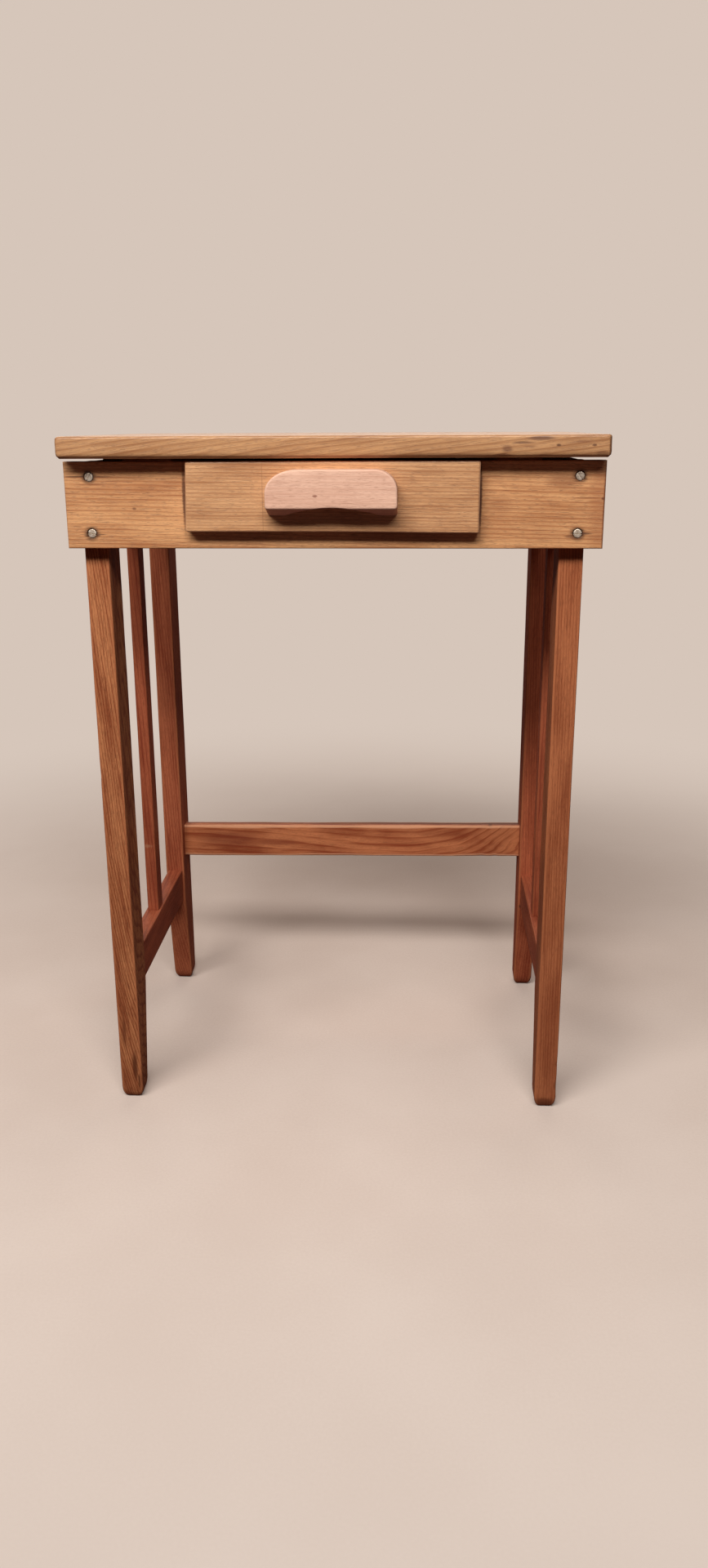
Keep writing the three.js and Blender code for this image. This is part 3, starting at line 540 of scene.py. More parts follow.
BARS = [f"{kind}_{word}" for kind in ("upper_rail", "side_stretcher", "slat") for word in ("left", "right")]
for number, node in enumerate(BARS):
    upright = node.startswith("slat")
    along = "z" if upright else "y"
    low, high = between_tenons(node, along, SLAT_TENON if upright else RAIL_TENON)
    rail_dents = [
        ((low[0] + 2, low[1], 210), (3, 2, 3), (0, 0.4, 0)),
        ((high[0], low[1], 268), (2, 2, 6), (-0.5, 0.4, 0)),
    ] if upright else []
    rub_and_highlight = [((low[0], low[1], 262), (14, 30, 3), tone(188, 132, 100), 0.6)] if node == "slat_left" else ()
    rings, arris_mask = planed_bar(low, high, along, 0.9, 0.3, number + 20.0, rail_dents)
    rail_oak = oak(
        f"{node}_oak", along, tone(186, 102, 70), tone(138, 63, 43), BROWN_PORE, seed=number + 11.0,
        slant=(0.01, -0.01, 0.015, 0, 0.03, -0.02)[number], pith=(50, -40 - 9 * number), ring=2.8,
        pores=0.4, wear_and_highlight=0.3, wear_and_highlight_tone=tone(170, 98, 64), wave=2.0, marks=rub_and_highlight,
    )
    dress(carried(f"{node}_planed", rings, arris_mask, rail_oak), node)

# The rear stretcher is glued into the rear legs with tenons, a little out of level. Its long arrises are well
# rounded by wear and painted pale, partly as wear and partly as a painted highlight, its top face is painted
# darker, and it has old nicks near its right end, where the grain turns upwards.
STRETCHER_TENON = 14.7
STRETCHER_DROP = 2.2
STRETCHER_SLOPE = 0.0115

low, high = between_tenons("rear_stretcher", "x", STRETCHER_TENON)
stretcher_dents = [
    ((189, low[1], high[2]), (3.4, 2.6, 2.6), (0, 0.9, -1.1)),
    ((197, low[1], high[2]), (2.2, 2, 2), (0, 0.6, -0.8)),
    ((177, low[1], low[2]), (5, 2.6, 2.6), (0, 0.6, 0.9)),
    ((196, low[1], low[2]), (3, 2.6, 2.6), (0, 0.7, 1.2)),
    ((-60, low[1], high[2]), (6, 2, 2), (0, 0.3, -0.4)),
]
low[2] -= STRETCHER_DROP
rings, arris_mask = planed_bar(low, high, "x", 2.2, 0.3, 31.0, stretcher_dents, rough=0.25, gap=2.2)
rings[..., 2] += rings[..., 0] * STRETCHER_SLOPE
stretcher_oak = oak(
    "rear_stretcher_oak", "x", tone(212, 132, 88), tone(152, 74, 46), BROWN_PORE, seed=4.3, slant=0.012,
    ring=6.5, pith=(26, -30), lean=0.045, wave=5, pores=0.3, fade=0.9, wear_and_highlight=0.65,
    # Pale arrises: wear and a painted highlight.
    wear_and_highlight_tone=tone(244, 180, 140), turns=((70, 1, -0.014), (140, 1, -0.02)),
    marks=face_marks([(189, high[2] + 2.0, 4, 3, (70, 34, 22), 0.7)]) + [
        # Painted darker along the top face.
        ((0, low[1] + 14.0, high[2] + 4.0), (0, 12.5, 9), tone(96, 48, 30), 0.9),
    ] + face_marks([
        (196, low[2], 7, 3.5, (46, 22, 15), 0.7),
        (176, low[2], 6, 3, (62, 30, 20), 0.6),
        (-172, (low[2] + high[2]) / 2, 52, 14, (128, 58, 42), 0.5),
        (-105, low[2] + 19.0, 40, 6, (132, 60, 42), 0.5),
        (120, high[2] - 9.0, 60, 5, (140, 68, 44), 0.35),
    ]),
)
dress(carried("rear_stretcher_planed", rings, arris_mask, stretcher_oak), "rear_stretcher")

# The front and rear boards are screwed across the legs, flush with the ends of the top. The front one is
# golden oak, with a notch sawn down from its upper edge for the drawer, and the rear one is browner.
# Every screw has a countersunk hole that goes right through.
BOARD_ARRIS = 1.2
SCREW_HOLE = 5.1
SHANK_HOLE = 2.1
SINK_DEPTH = 4.05
SQUARE = 8.0
SQUARE_CELLS = 8
NOTCH_HALF = 131.0
NOTCH_FLOOR = 28.0


def grid_lines(low, high, gap, extra):
    """Places of the grid's lines: a quarter circle at both ends, wide steps between, and the extra
    lines, from which the wide steps keep away."""
    ends = np.append(BOARD_ARRIS * (1 - np.cos(np.linspace(0, math.pi / 2, 5))), BOARD_ARRIS + 2.0)
    fixed = np.concatenate([low + ends, high - ends, extra])
    even = np.linspace(low, high, int((high - low) / gap))
    clear = np.abs(even[:, None] - fixed[None, :]).min(1) > gap * 0.45
    return np.unique(np.round(np.concatenate([fixed, even[clear]]), 4))


def drilled_board(name, low, high, holes, notch, material, seed, flip=False):
    """A board as two sheets over one grid in x and z. Each sheet sinks along a quarter circle near the
    outline, by its distance from it, and straight walls join the two. Round each hole a square of the
    grid is left out and filled by rings that go from the square to the circle, down the countersink
    and out at the back. With flip, the screws come from the back."""
    cells = SQUARE * np.linspace(-1, 1, SQUARE_CELLS + 1)
    drill_x, drill_z = ([hole[k] + cell for hole in holes for cell in cells] for k in (0, 1))
    turn = BOARD_ARRIS * (1 - np.cos(np.linspace(0, math.pi / 2, 5)))
    if notch:
        drill_x += [notch[0] - t for t in turn] + [notch[1] + t for t in turn]
        drill_z += [notch[2] - t for t in turn]
    xs = grid_lines(low[0], high[0], 7.0, drill_x)
    zs = grid_lines(low[2], high[2], 5.0, drill_z)
    x, z = np.meshgrid(xs, zs, indexing="ij")
    rim = np.minimum(np.minimum(x - low[0], high[0] - x), np.minimum(z - low[2], high[2] - z))
    if notch:
        away = np.hypot(np.maximum(np.maximum(notch[0] - x, x - notch[1]), 0), np.maximum(notch[2] - z, 0))
        rim = np.minimum(rim, away)
    rim = np.maximum(rim, 0.0)
    local = BOARD_ARRIS * (1 + 0.25 * wander(x / 21.0, z / 13.0, seed=seed))
    sunk = np.where(rim < local, local - np.sqrt(np.maximum(local ** 2 - (local - rim) ** 2, 0)), 0.0)
    sunk += 0.16 * (1 + wander(x / 70.0, z / 26.0, seed=seed + 5.0)) / 2
    mx, mz = np.meshgrid((xs[1:] + xs[:-1]) / 2, (zs[1:] + zs[:-1]) / 2, indexing="ij")
    wood = np.ones(mx.shape, bool)
    if notch:
        wood &= ~((mx > notch[0]) & (mx < notch[1]) & (mz > notch[2]))
    drilled = np.zeros(mx.shape, bool)
    for hx, hz in holes:
        drilled |= (abs(mx - hx) < SQUARE) & (abs(mz - hz) < SQUARE)
    count = x.size
    index = np.arange(count).reshape(x.shape)
    sheets = [np.stack([x, y, z], -1).reshape(-1, 3) for y in (low[1] + sunk, high[1] - sunk)]
    i, j = np.nonzero(wood & ~drilled)
    quad = np.stack([index[i, j], index[i + 1, j], index[i + 1, j + 1], index[i, j + 1]], -1)
    faces = [quad, quad[:, ::-1] + count]
    solid = np.pad(wood, 1)
    for di, dj, first, second in (
        (1, 0, (1, 0), (1, 1)), (-1, 0, (0, 0), (0, 1)), (0, 1, (0, 1), (1, 1)), (0, -1, (0, 0), (1, 0)),
    ):
        i, j = np.nonzero(wood & ~solid[1 + di:1 + di + wood.shape[0], 1 + dj:1 + dj + wood.shape[1]])
        a = index[i + first[0], j + first[1]]
        b = index[i + second[0], j + second[1]]
        faces.append(np.stack([a, b, b + count, a + count], -1))
    points = list(sheets)
    total = 2 * count
    for hx, hz in holes:
        i0, i1 = (int(np.abs(xs - (hx + s * SQUARE)).argmin()) for s in (-1, 1))
        j0, j1 = (int(np.abs(zs - (hz + s * SQUARE)).argmin()) for s in (-1, 1))
        loop = np.concatenate([index[i0:i1, j0], index[i1, j0:j1], index[i1:i0:-1, j1], index[i0, j1:j0:-1]])
        square = sheets[0][loop]
        back_square = sheets[1][loop]
        away = square[:, [0, 2]] - (hx, hz)
        unit = away / np.linalg.norm(away, axis=1)[:, None]

        def ring(radius, y):
            return np.stack([hx + radius * unit[:, 0], np.full(len(unit), y), hz + radius * unit[:, 1]], -1)

        face_y = float(square[:, 1].mean())
        back_y = float(back_square[:, 1].mean())
        rings = [square * (1 - t) + ring(SCREW_HOLE + 0.25, face_y) * t for t in (0.35, 0.65, 0.85, 1.0)]
        rings += [ring(SCREW_HOLE, face_y + 0.2), ring(SCREW_HOLE - 0.05, face_y + 0.55)]
        rings += [ring(SHANK_HOLE, face_y + SINK_DEPTH), ring(SHANK_HOLE, back_y)]
        rings += [back_square * t + ring(SHANK_HOLE, back_y) * (1 - t) for t in (0.4, 0.75)]
        new_ids = total + np.arange(len(rings) * len(loop)).reshape(len(rings), -1)
        ids = [loop, *new_ids, loop + count]
        for inner, outer in zip(ids, ids[1:]):
            faces.append(np.stack([inner, np.roll(inner, -1), np.roll(outer, -1), outer], -1))
        points += rings
        total += new_ids.size
    points = np.concatenate(points)
    used, faces = np.unique(np.concatenate(faces), return_inverse=True)
    mask = np.zeros(len(points))
    mask[:2 * count] = np.tile(np.clip(1.25 - rim.ravel() / 1.6, 0, 1), 2)
    if flip:
        points[:, 1] = low[1] + high[1] - points[:, 1]
    quads = faces.reshape(-1, 4).tolist()
    return mesh_object(name, points[used] * MM, quads, material, {"arris": mask[used]})


GOLD_LIGHT = tone(230, 172, 119)
GOLD_DARK = tone(172, 110, 68)
GOLD_PORE = tone(98, 56, 34)


def screw_spots(nodes):
    """The middles of the screw heads in x and z, in mm."""
    return [tuple(((a + b) / 2)[[0, 2]]) for a, b in (low_high(node) for node in nodes)]


FRONT_SCREWS = [f"front_board_screw_{k}" for k in range(1, 5)]
REAR_SCREWS = [f"rear_board_screw_{k}" for k in range(1, 5)]
front_spots = screw_spots(FRONT_SCREWS)
low, high = low_high("front_board")
notch_sides = (-NOTCH_HALF, NOTCH_HALF, low[2] + NOTCH_FLOOR)
board_stains_and_shade = [(x, z, 9.6, 9.0, (50, 24, 14), 0.95) for x, z in front_spots]
for screw, right, up, wide, tall, colour, share in (
    (0, -14, 0.4, 14, 0.9, (74, 38, 22), 0.8),
    (0, 12, 0.2, 13, 0.8, (84, 44, 26), 0.7),
    (0, 6, -7, 12, 1.6, (132, 80, 50), 0.5),
    (1, 8, -1, 9, 0.8, (90, 48, 28), 0.7),
    (2, -16, -5, 22, 9, (140, 86, 54), 0.55),
    (3, 6, 0, 12, 1.6, (90, 48, 28), 0.75),
    (3, -7, -3, 8, 2, (112, 66, 40), 0.6),
):
    x, z = front_spots[screw]
    board_stains_and_shade.append((x + right, z + up, wide, tall, colour, share))
board_stains_and_shade += [
    (-200, 686.5, 2.8, 1.8, (112, 64, 40), 0.7),
    (268.2, 695.9, 2.6, 1.9, (54, 20, 11), 0.9),
    (254, 696.6, 18, 1.1, (122, 68, 42), 0.6),
    (260, 693, 10, 1, (128, 70, 42), 0.55),
    # Painted shade: a dark strip down the board's right end.
    (270, 690, 2.4, 80, (84, 42, 28), 0.85),
    (266, 690, 14, 80, (164, 98, 62), 0.35),
    (168, 690, 14, 12, (158, 102, 66), 0.35),
]
# Painted shade: dark lines on the board beside both ends of the drawer front, where it stands proud of the
# board.
drawer_gap_shade = [
    (147.3, 695, 2.5, 44, (66, 30, 18), 0.9),
    (-148.6, 697, 2.6, 42, (76, 38, 22), 0.8),
]
front_oak = oak(
    "front_board_oak", "x", GOLD_LIGHT, GOLD_DARK, GOLD_PORE, seed=2.0, slant=0.012, ring=4.2,
    pith=(-180, -120), lean=0.012, wave=3, pores=0.5, fade=0.4, gloss=0.44, coat=0.25, sheen=0.4,
    wear_and_highlight=0.3, wear_and_highlight_tone=tone(150, 92, 58), marks=face_marks(board_stains_and_shade) + face_marks(drawer_gap_shade, low[1], 9.0),
    grain=0.95,
)
made = drilled_board("front_board_planed", low, high, front_spots, notch_sides, front_oak, 2.0)
dress(made, "front_board")
low, high = low_high("rear_board")
rear_spots = screw_spots(REAR_SCREWS)
rear_oak = oak(
    "rear_board_oak", "x", tone(196, 134, 92), tone(142, 84, 54), BROWN_PORE, seed=5.0, slant=-0.01, ring=4.6,
    pith=(-150, 200), pores=0.5, wear_and_highlight=0.3, wear_and_highlight_tone=tone(150, 92, 58),
    marks=face_marks([(x, z, 6.0, 5.4, (72, 38, 22), 0.7) for x, z in rear_spots]),
)
made = drilled_board("rear_board_planed", low, high, rear_spots, None, rear_oak, 6.0, flip=True)
dress(made, "rear_board")

# Slotted wood screws hold the boards to the legs, four at the front and four at the back. They are
# dulled steel, with a countersunk head, a plain neck and a cut thread that runs out at the point.
HEAD_RADIUS = 4.2
HEAD_DEEP = 3.4
SHANK_RADIUS = 1.8
ROOT_RADIUS = 1.35
THREAD_PITCH = 1.8
SLOT_HALF = 0.5
SLOT_DEPTH = 1.1


def steel(name, seed):
    """Dull grey steel: fine brushed lines, darker dirty patches and small rust spots."""
    material, tree, shader = blank(name)
    x, y, z = places(tree)
    patch = noise(x / 2.2 + seed, y / 2.2, z / 2.2, 3.0)
    fine = noise(x / 0.35, y / 0.35 + seed, z / 1.4, 2.0)
    speck = noise(x / 0.8, y / 0.8, z / 0.8 + seed, 2.0).step(0.6, 0.7)
    colour = (patch * 0.7 + fine * 0.3).step(0.3, 0.65).mix(tone(176, 156, 136), tone(246, 232, 214))
    colour = (speck * 0.55).mix(colour, tone(92, 62, 42))
    tree.links.new(colour.socket, shader.inputs["Base Color"])
    tree.links.new((0.62 - patch * 0.25 + speck * 0.2).socket, shader.inputs["Roughness"])
    tree.links.new((0.75 - speck * 0.5).socket, shader.inputs["Metallic"])
    bump = x.new("ShaderNodeBump", None, {"Strength": 0.4, "Distance": 0.0001, "Height": fine + speck * 0.4})
    tree.links.new(bump.socket, shader.inputs["Normal"])
    return material


def wood_screw(node, material, slot_turn, towards):
    """A screw as one surface. The face of the head is rows across the slot, cut to the circle, and the
    rows of the slot's floor lie deeper. From its rim, rings go down the cone and along the shank. The
    thread is a ridge whose place along the shank grows by one pitch for each turn."""
    low, high = low_high(node)
    axis = int(np.argmax(high - low))
    u, v = ((1, 2), (0, 2), (0, 1))[axis]
    head = low[axis] if towards > 0 else high[axis]
    length = high[axis] - low[axis]
    rows = np.concatenate([-HEAD_RADIUS * np.cos(np.linspace(0.0, 1.38, 8)), [-SLOT_HALF]])
    a = np.concatenate([rows, [-SLOT_HALF, 0.0, SLOT_HALF], -rows[::-1]])
    deep = np.zeros(a.size, bool)
    deep[rows.size:rows.size + 3] = True
    cone_at = HEAD_RADIUS - (HEAD_RADIUS - SHANK_RADIUS) * SLOT_DEPTH / HEAD_DEEP
    reach = np.sqrt(np.maximum(np.where(deep, cone_at, HEAD_RADIUS) ** 2 - a ** 2, 0.0))
    b = reach[:, None] * np.linspace(-1.0, 1.0, 13)[None, :]
    a2 = np.broadcast_to(a[:, None], b.shape)
    share = np.hypot(a2, b) / HEAD_RADIUS
    down = np.where(deep[:, None], SLOT_DEPTH, 0.08 * share ** 2 + 0.22 * share ** 14)
    face = np.stack([a2, b, down], -1)
    rim = np.concatenate([face[:, 0], face[::-1, -1]])
    chord = np.sqrt(np.maximum(HEAD_RADIUS ** 2 - a ** 2, 0))
    turn = np.arctan2(np.concatenate([-chord, chord[::-1]]), np.concatenate([a, a[::-1]]))
    s = np.concatenate([[1.6, HEAD_DEEP, 5.0], np.arange(9.0, length - 0.3, 0.3), [length - 0.05]])
    ridge = np.abs(((s[:, None] / THREAD_PITCH - turn[None, :] / (2 * math.pi)) % 1.0) - 0.5) * 2
    body_radius = ROOT_RADIUS + (SHANK_RADIUS - ROOT_RADIUS) * np.clip(1.6 * ridge - 0.3, 0, 1)
    begun = np.clip((s - 10.0) / 3.0, 0, 1)[:, None]
    body_radius = SHANK_RADIUS * (1 - begun) + body_radius * begun
    body_radius = body_radius * np.clip((length - s) / 5.0, 0.02, 1)[:, None] ** 0.8
    cone = HEAD_RADIUS - (HEAD_RADIUS - SHANK_RADIUS) * s / HEAD_DEEP
    radius = np.where(s[:, None] < HEAD_DEEP, cone[:, None], body_radius)
    below = np.broadcast_to(s[:, None], radius.shape)
    chain = np.concatenate([rim[None], np.stack([radius * np.cos(turn), radius * np.sin(turn), below], -1)])
    first_fan = chain.size // 3
    shank_faces = [f for f in ring_faces(*chain.shape[:2]) if max(f) != first_fan]
    shank_faces = [[n + b.size for n in f] for f in shank_faces]
    local = np.concatenate([face.reshape(-1, 3), chain.reshape(-1, 3), chain[[0, -1]].mean(1)])
    points = np.empty_like(local)
    cos_t, sin_t = math.cos(slot_turn), math.sin(slot_turn)
    middle = (low + high) / 2
    points[:, u] = middle[u] + local[:, 1] * cos_t + local[:, 0] * sin_t
    points[:, v] = middle[v] - local[:, 1] * sin_t + local[:, 0] * cos_t
    points[:, axis] = head + towards * local[:, 2]
    return mesh_object(f"{node}_turned", points * MM, grid_quads(*b.shape).tolist() + shank_faces, material)


SLOT_TURNS = (-1.05, 0.2, 0.9, 0.04)
for nodes, seed, slot_turns, towards in (
    (FRONT_SCREWS, 0.0, SLOT_TURNS, 1.0),
    (REAR_SCREWS, 20.0, SLOT_TURNS[::-1], -1.0),
):
    for number, node in enumerate(nodes):
        screw_steel = steel(f"{node}_steel", seed + number * 3.1)
        dress(wood_screw(node, screw_steel, slot_turns[number], towards), node)

# Two battens lie inside the legs and carry the top, so that it stands clear of the boards. They are
# plain unvarnished wood, screwed into the legs from the side and into the top from below.
def finish_node(node, material):
    """Gives a CAD node a finish and leaves its mesh alone."""
    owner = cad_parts[node]
    owner.data.materials.clear()
    owner.data.materials.append(material)


def finish_plain(node, along, seed, light=tone(214, 176, 132), dark=tone(176, 132, 90)):
    """Planed wood with no varnish: the same grain, paler, duller and a little dusty."""
    finish_node(node, oak(
        f"{node}_wood", along, light, dark, tone(112, 78, 50), seed=seed, slant=0.01, ring=3.4,
        pith=(70, -60 - seed), pores=0.4, gloss=0.66, wear_and_highlight=0,
    ))


def finish_screws(nodes, seed):
    """Dull steel on screws and nails that hardly show, with other specks on each."""
    for number, node in enumerate(nodes):
        finish_node(node, steel(f"{node}_steel", seed + number * 2.3))


for number, word in enumerate(("left", "right")):
    finish_plain(f"top_batten_{word}", "y", 30.0 + number, tone(190, 146, 104), tone(146, 102, 68))
finish_screws([f"batten_{end}_screw_{k}" for end in ("leg", "top") for k in range(1, 5)], 40.0)

# The drawer hangs on guides under the top. On each side a cleat is screwed to the top, a guide board
# keeps the drawer straight and a ledge along its foot carries it. A thin kicker between them stops
# the open drawer from tipping. All are planed, unvarnished wood.
for number, word in enumerate(("left", "right")):
    finish_plain(f"guide_cleat_{word}", "y", 34.0 + number)
    finish_plain(f"drawer_guide_{word}", "y", 36.0 + number)
    finish_plain(f"runner_ledge_{word}", "y", 38.0 + number)
finish_plain("drawer_kicker", "y", 41.0)
finish_screws([f"cleat_screw_{k}" for k in range(1, 5)] + ["kicker_screw_1", "kicker_screw_2"], 60.0)

# The top is one thick board of golden oak with soft round corners. Its front edge is rubbed by years of
# sleeves, with dark stains and small chips towards the right, and a painted shade darkens its right end.
def soft_box(low, high, radii, gap, chamfer=0.0):
    """The six faces of a box as grids. Each point is drawn to the nearest point of an inner box and put
    back at the radius, along the line between them, so faces meet in quarter circles and corners in
    parts of a ball. Along the foot, a chamfer takes the place of the circle: there the way out and the
    way down add up to one. The third result is 1 along the middle of each arris."""
    radii = np.array(radii, float)
    points = []
    quads = []
    total = 0
    tilt = np.tan(np.linspace(math.pi / 4, 0.0, 5))
    for axis in range(3):
        u, v = [k for k in range(3) if k != axis]
        lines = []
        for k in (u, v):
            ends = radii[k] * (1 - tilt)
            inset = radii[k] + 3.0
            inner = np.linspace(low[k] + inset, high[k] - inset, max(2, int((high[k] - low[k]) / gap)))
            lines.append(np.concatenate([low[k] + ends, inner, (high[k] - ends)[::-1]]))
        gu, gv = np.meshgrid(*lines, indexing="ij")
        for level in (low[axis], high[axis]):
            grid = np.empty((*gu.shape, 3))
            grid[..., u], grid[..., v], grid[..., axis] = gu, gv, level
            quads.append(total + grid_quads(*gu.shape)[:, [0, 3, 2, 1]])
            points.append(grid.reshape(-1, 3))
            total += gu.size
    points = np.concatenate(points)
    below = points[:, 2] < (low[2] + high[2]) / 2
    radii = np.tile(radii, (len(points), 1))
    radii[below, 2] = chamfer or radii[0, 2]
    core = np.clip(points, low + radii, high - radii)
    away = (points - core) / radii
    flat_length = np.hypot(away[:, 0], away[:, 1])
    straight = flat_length + np.abs(away[:, 2])
    away /= np.where(below & (chamfer > 0), straight, np.linalg.norm(away, axis=1))[:, None]
    mask = np.clip((1 - np.abs(away).max(1)) / 0.29, 0, 1)
    return core + away * radii, np.concatenate(quads), mask, away


low, high = low_high("top_panel")
points, quads, arris_mask, away = soft_box(low, high, (3.4, 3.4, 2.6), 5.5, chamfer=3.2)
sink = 0.22 * (1 + wander(points[:, 0] / 60.0, points[:, 1] / 45.0, points[:, 2] / 9.0, seed=9.0)) / 2
points = points - away * sink[:, None]
top_dents = [
    ((206, low[1], low[2]), (5, 3, 3), (0, 0.8, 0.7)),
    ((171, low[1], low[2]), (3.4, 3, 2.4), (0, 0.6, 0.6)),
    ((238, low[1], low[2]), (4, 3, 2.4), (0, 0.5, 0.5)),
    ((-118, low[1], high[2]), (8, 3, 2.4), (0, 0.4, -0.5)),
    ((58, low[1], high[2]), (6, 3, 2.4), (0, 0.4, -0.5)),
    ((high[0], low[1], high[2] - 2), (3, 3, 8), (-0.6, 0.5, 0)),
    ((low[0], low[1], high[2]), (5, 5, 4), (0.5, 0.4, -0.5)),
]
points = dented(points, top_dents)
top_marks = [
    (171, 743.5, 7, 4.6, (110, 68, 50), 0.65),
    (168, 738, 11, 2.2, (96, 56, 40), 0.6),
    (186, 749.5, 13, 1.5, (92, 56, 42), 0.65),
    (203, 753.6, 17, 2.6, (100, 64, 52), 0.75),
    (192, 746, 9, 1.3, (120, 76, 54), 0.5),
    (220, 747, 3.2, 1.6, (78, 44, 33), 0.8),
    (254, 747, 3, 1.7, (86, 50, 37), 0.75),
    (243, 750.5, 10, 1.6, (130, 84, 62), 0.45),
    (262, 739.5, 9, 3, (92, 50, 34), 0.5),
    (120, 738.6, 60, 1.8, (120, 72, 48), 0.35),
    # Painted shade: a dark strip down the right end of the top.
    (270.4, 746, 3, 14, (84, 40, 28), 0.8),
]
top_oak = oak(
    "top_oak", "x", tone(212, 161, 113), tone(156, 105, 67), GOLD_PORE, seed=7.0, slant=-0.12, ring=5.2,
    pith=(-90, -500), lean=-0.02, pores=0.42, fade=0.3, gloss=0.4, coat=0.3, sheen=0.4, wear_and_highlight=0.45,
    wear_and_highlight_tone=tone(150, 100, 68), marks=face_marks(top_marks, low[1], 30.0), grain=0.75,
)
made = mesh_object("top_panel_planed", points * MM, quads.tolist(), top_oak, {"arris": arris_mask})
dress(made, "top_panel")

# The drawer box is plain wood, dovetailed at its front corners, with a thin bottom that slides into
# grooves and is nailed up into the back.
for word in ("inner_front", "side_left", "side_right", "back", "bottom"):
    node = f"drawer_{word}"
    finish_plain(node, "y" if word.startswith("side") else "x", 50.0 + len(node))
drawer_screws = [f"{owner}_screw_{k}" for owner in ("drawer_front", "pull") for k in (1, 2)]
finish_screws([f"drawer_bottom_nail_{k}" for k in (1, 2, 3)] + drawer_screws, 80.0)

# The drawer front is a thicker piece of golden oak that laps over the notch on three sides. It is screwed on
# from inside the box. Its lower corners are a little out of square, its arrises are rounded and painted pale,
# partly as wear and partly as a painted highlight, and its right end carries a painted shade.
low, high = low_high("drawer_front")
points, quads, arris_mask, away = soft_box(low, high, (2.3, 2.1, 2.2), 4.0)
sink = 0.12 * (1 + wander(points[:, 0] / 40.0, points[:, 2] / 22.0, seed=14.0)) / 2
out_of_square = [
    ((low[0], low[1], low[2]), (60, 900, 46), (-2, 0, 0)),
    ((high[0], low[1], low[2]), (90, 900, 34), (0, 0, -1.3)),
]
points = dented(points - away * sink[:, None], out_of_square)
drawer_marks = [
    (-68, 698, 0.7, 60, (150, 98, 66), 0.4),
    # Painted shade: the right end of the drawer front is darkened.
    (high[0], 698, 2.2, 70, (92, 52, 34), 0.6),
    (96, 722, 26, 3, (150, 98, 62), 0.4),
]
drawer_oak = oak(
    "drawer_front_oak", "x", tone(224, 172, 124), tone(170, 114, 74), GOLD_PORE, seed=3.0, slant=0.006,
    ring=3.4, pith=(-210, -90), lean=0.006, wave=1.6, pores=0.45, fade=0.4, grain=0.9, coat=0.28,
    # Pale arrises: wear and a painted highlight.
    sheen=0.4, wear_and_highlight_tone=tone(232, 182, 150), marks=face_marks(drawer_marks),
)
made = mesh_object("drawer_front_planed", points * MM, quads.tolist(), drawer_oak, {"arris": arris_mask})
dress(made, "drawer_front", "drawer")

# The pull is a block of paler close-grained wood, sanded by hand. Its upper corners are broad uneven
# curves, its underside slopes down towards the drawer front, and an arch with a cove behind the lip
# takes the fingertips.
PULL_SLOPE = 7.5
PULL_ARRIS = 1.6
CORNERS = {"left": (31.0, 22.0), "right": (22.0, 20.5)}
FOOT_RADIUS = 3.0
ARCH_HALF, ARCH_RISE = 47.0, 8.3
COVE = (40.0, 6.5, 20.0)
COVE_LIP = 8.0


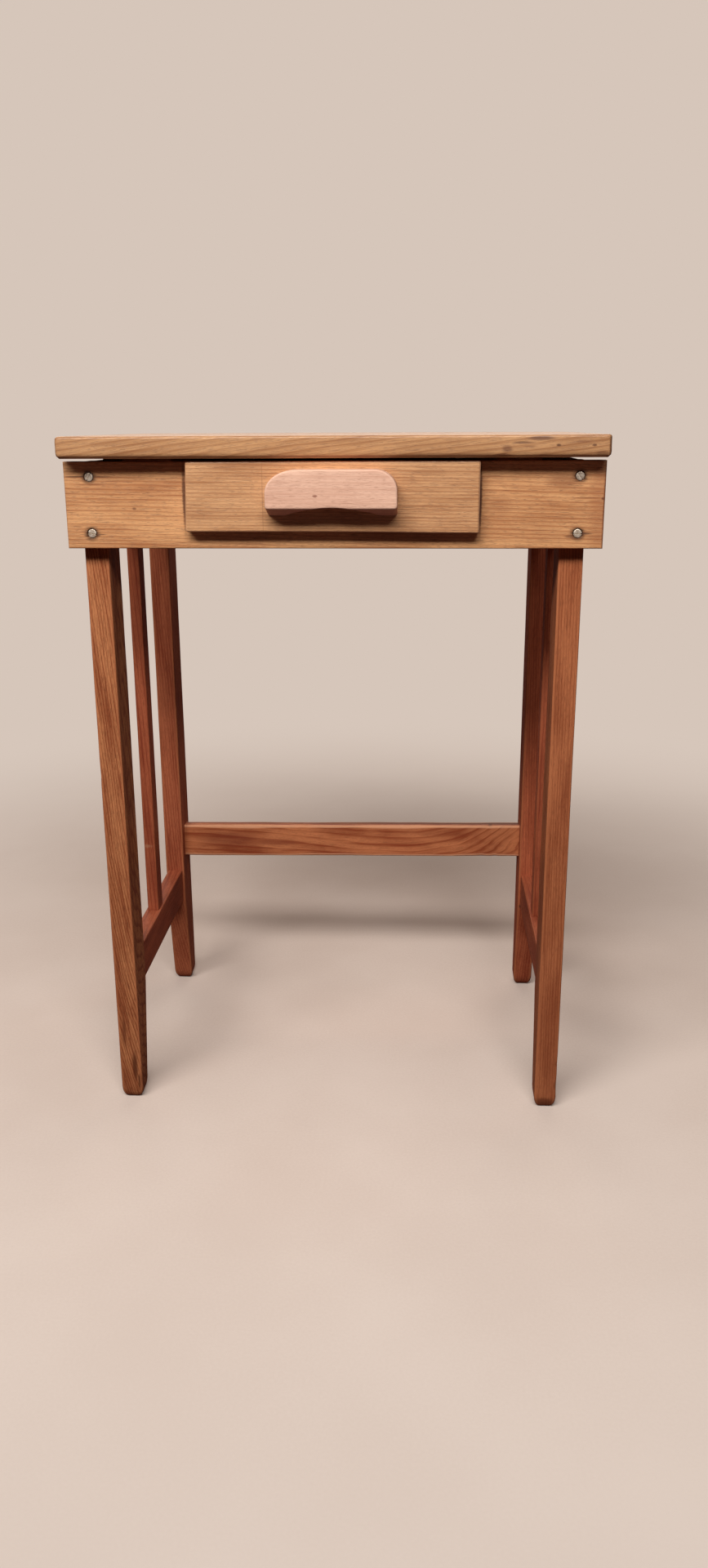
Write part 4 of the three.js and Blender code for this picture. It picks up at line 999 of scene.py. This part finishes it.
def pull_loops(y, inset, low, high):
    """The outline of the pull at each depth: the right side, a quarter ellipse, the top, a wider
    quarter ellipse, the left side, a small arc, the underside and a small arc. The underside is the
    highest of its slope, the arch, which is a circle in x, and the cove, a half ellipsoid."""
    y, inset = y[:, None], inset[:, None]
    half = (high[0] - low[0]) / 2 - inset
    middle = (low[0] + high[0]) / 2
    top = high[2] - inset
    foot = low[2] + PULL_SLOPE * (1 - (y - low[1]) / (high[1] - low[1])) + inset
    quarter = np.linspace(0, math.pi / 2, 13)[None, :]
    (lw, lh), (rw, rh) = CORNERS["left"], CORNERS["right"]
    rise = np.linspace(0.0, 1.0, 6)[None, :-1]
    right_side = (half + 0 * rise, foot + FOOT_RADIUS + (top - rh - foot - FOOT_RADIUS) * rise)
    right_arc = (half - rw + rw * np.cos(quarter), top - rh + rh * np.sin(quarter))
    flat = np.linspace(0.0, 1.0, 14)[None, 1:-1]
    top_line = (half - rw - (2 * half - rw - lw) * flat, top + 0 * flat)
    left_arc = (lw - half - lw * np.sin(quarter), top - lh + lh * np.cos(quarter))
    left_side = (-half + 0 * rise, (foot + FOOT_RADIUS) * rise + (top - lh) * (1 - rise))
    left_side = tuple(part[:, 1:] for part in left_side)
    arc = np.linspace(0, math.pi / 2, 5)[None, :]
    left_foot = (FOOT_RADIUS - half - FOOT_RADIUS * np.cos(arc), foot + FOOT_RADIUS * (1 - np.sin(arc)))
    x = (half - FOOT_RADIUS) * np.linspace(-1.0, 1.0, 75)[None, 1:-1]
    circle = (ARCH_HALF ** 2 + ARCH_RISE ** 2) / (2 * ARCH_RISE)
    arch = low[2] + ARCH_RISE - circle + np.sqrt(circle ** 2 - x ** 2) + inset
    deep = 1 - (x / COVE[0]) ** 2 - ((y - low[1] - COVE_LIP - COVE[1]) / COVE[1]) ** 2
    cove = low[2] + COVE[2] * np.sqrt(np.maximum(deep, 0.0))
    under = (x, np.maximum(np.maximum(foot, arch), np.where(deep > 0, cove, -1e3)))
    right_foot = (half - FOOT_RADIUS + FOOT_RADIUS * np.sin(arc), foot + FOOT_RADIUS * (1 - np.cos(arc)))
    right_foot = tuple(part[:, :-1] for part in right_foot)
    parts = [right_side, right_arc, top_line, left_arc, left_side, left_foot, under, right_foot]
    loop_x = np.concatenate([np.broadcast_to(p[0], p[1].shape) for p in parts], 1) + middle
    loop_z = np.concatenate([p[1] for p in parts], 1)
    return np.stack([loop_x, np.broadcast_to(y, loop_x.shape), loop_z], -1)


low, high = low_high("drawer_pull")
turn = np.linspace(math.pi / 2, 0.0, 5)
behind = np.append(np.linspace(low[1] + 2.6, high[1] - 0.1, 44), high[1])
depth = np.concatenate([low[1] + PULL_ARRIS * (1 - np.sin(turn)), behind])
inset = np.concatenate([PULL_ARRIS * (1 - np.cos(turn)), np.zeros(behind.size)])
rings = pull_loops(depth, inset, low, high)
heart = rings[0].mean(0)
crown = np.array([0.0, 0.3, 0.0])
rings[:5] += crown
face_rings = [
    heart + (rings[0] - heart) * share + (share ** 4 - share) * crown for share in (0.25, 0.55, 0.8, 0.95)
]
back_rings = [rings[-1] * share + rings[-1].mean(0) * (1 - share) for share in (0.9, 0.5)]
rings = np.concatenate([face_rings, rings, back_rings])
arris_mask = np.zeros(rings.shape[:2])
arris_mask[5:9] = 1.0
pull_dents = [
    ((high[0] - 3, low[1], 702), (3, 2, 3), (-0.4, 0.3, 0)),
    ((low[0] + 30, low[1], high[2]), (10, 4, 3), (0, 0.3, -0.3)),
]
rings = dented(rings, pull_dents)
pull_wood = oak(
    "pull_wood", "x", tone(242, 198, 173), tone(210, 160, 136), tone(168, 112, 90), seed=1.0, ring=5.0,
    pith=(-160, -60), lean=0.01, wave=1.2, pores=0.42, fade=0.3, grain=0.5, gloss=0.6, sheen=0.2,
    wear_and_highlight=0.3, wear_and_highlight_tone=tone(240, 200, 176), marks=face_marks([(-14, 700.5, 3.2, 1.6, (140, 84, 66), 0.8)]),
)
dress(carried("drawer_pull_shaped", rings, arris_mask, pull_wood), "drawer_pull", "drawer")
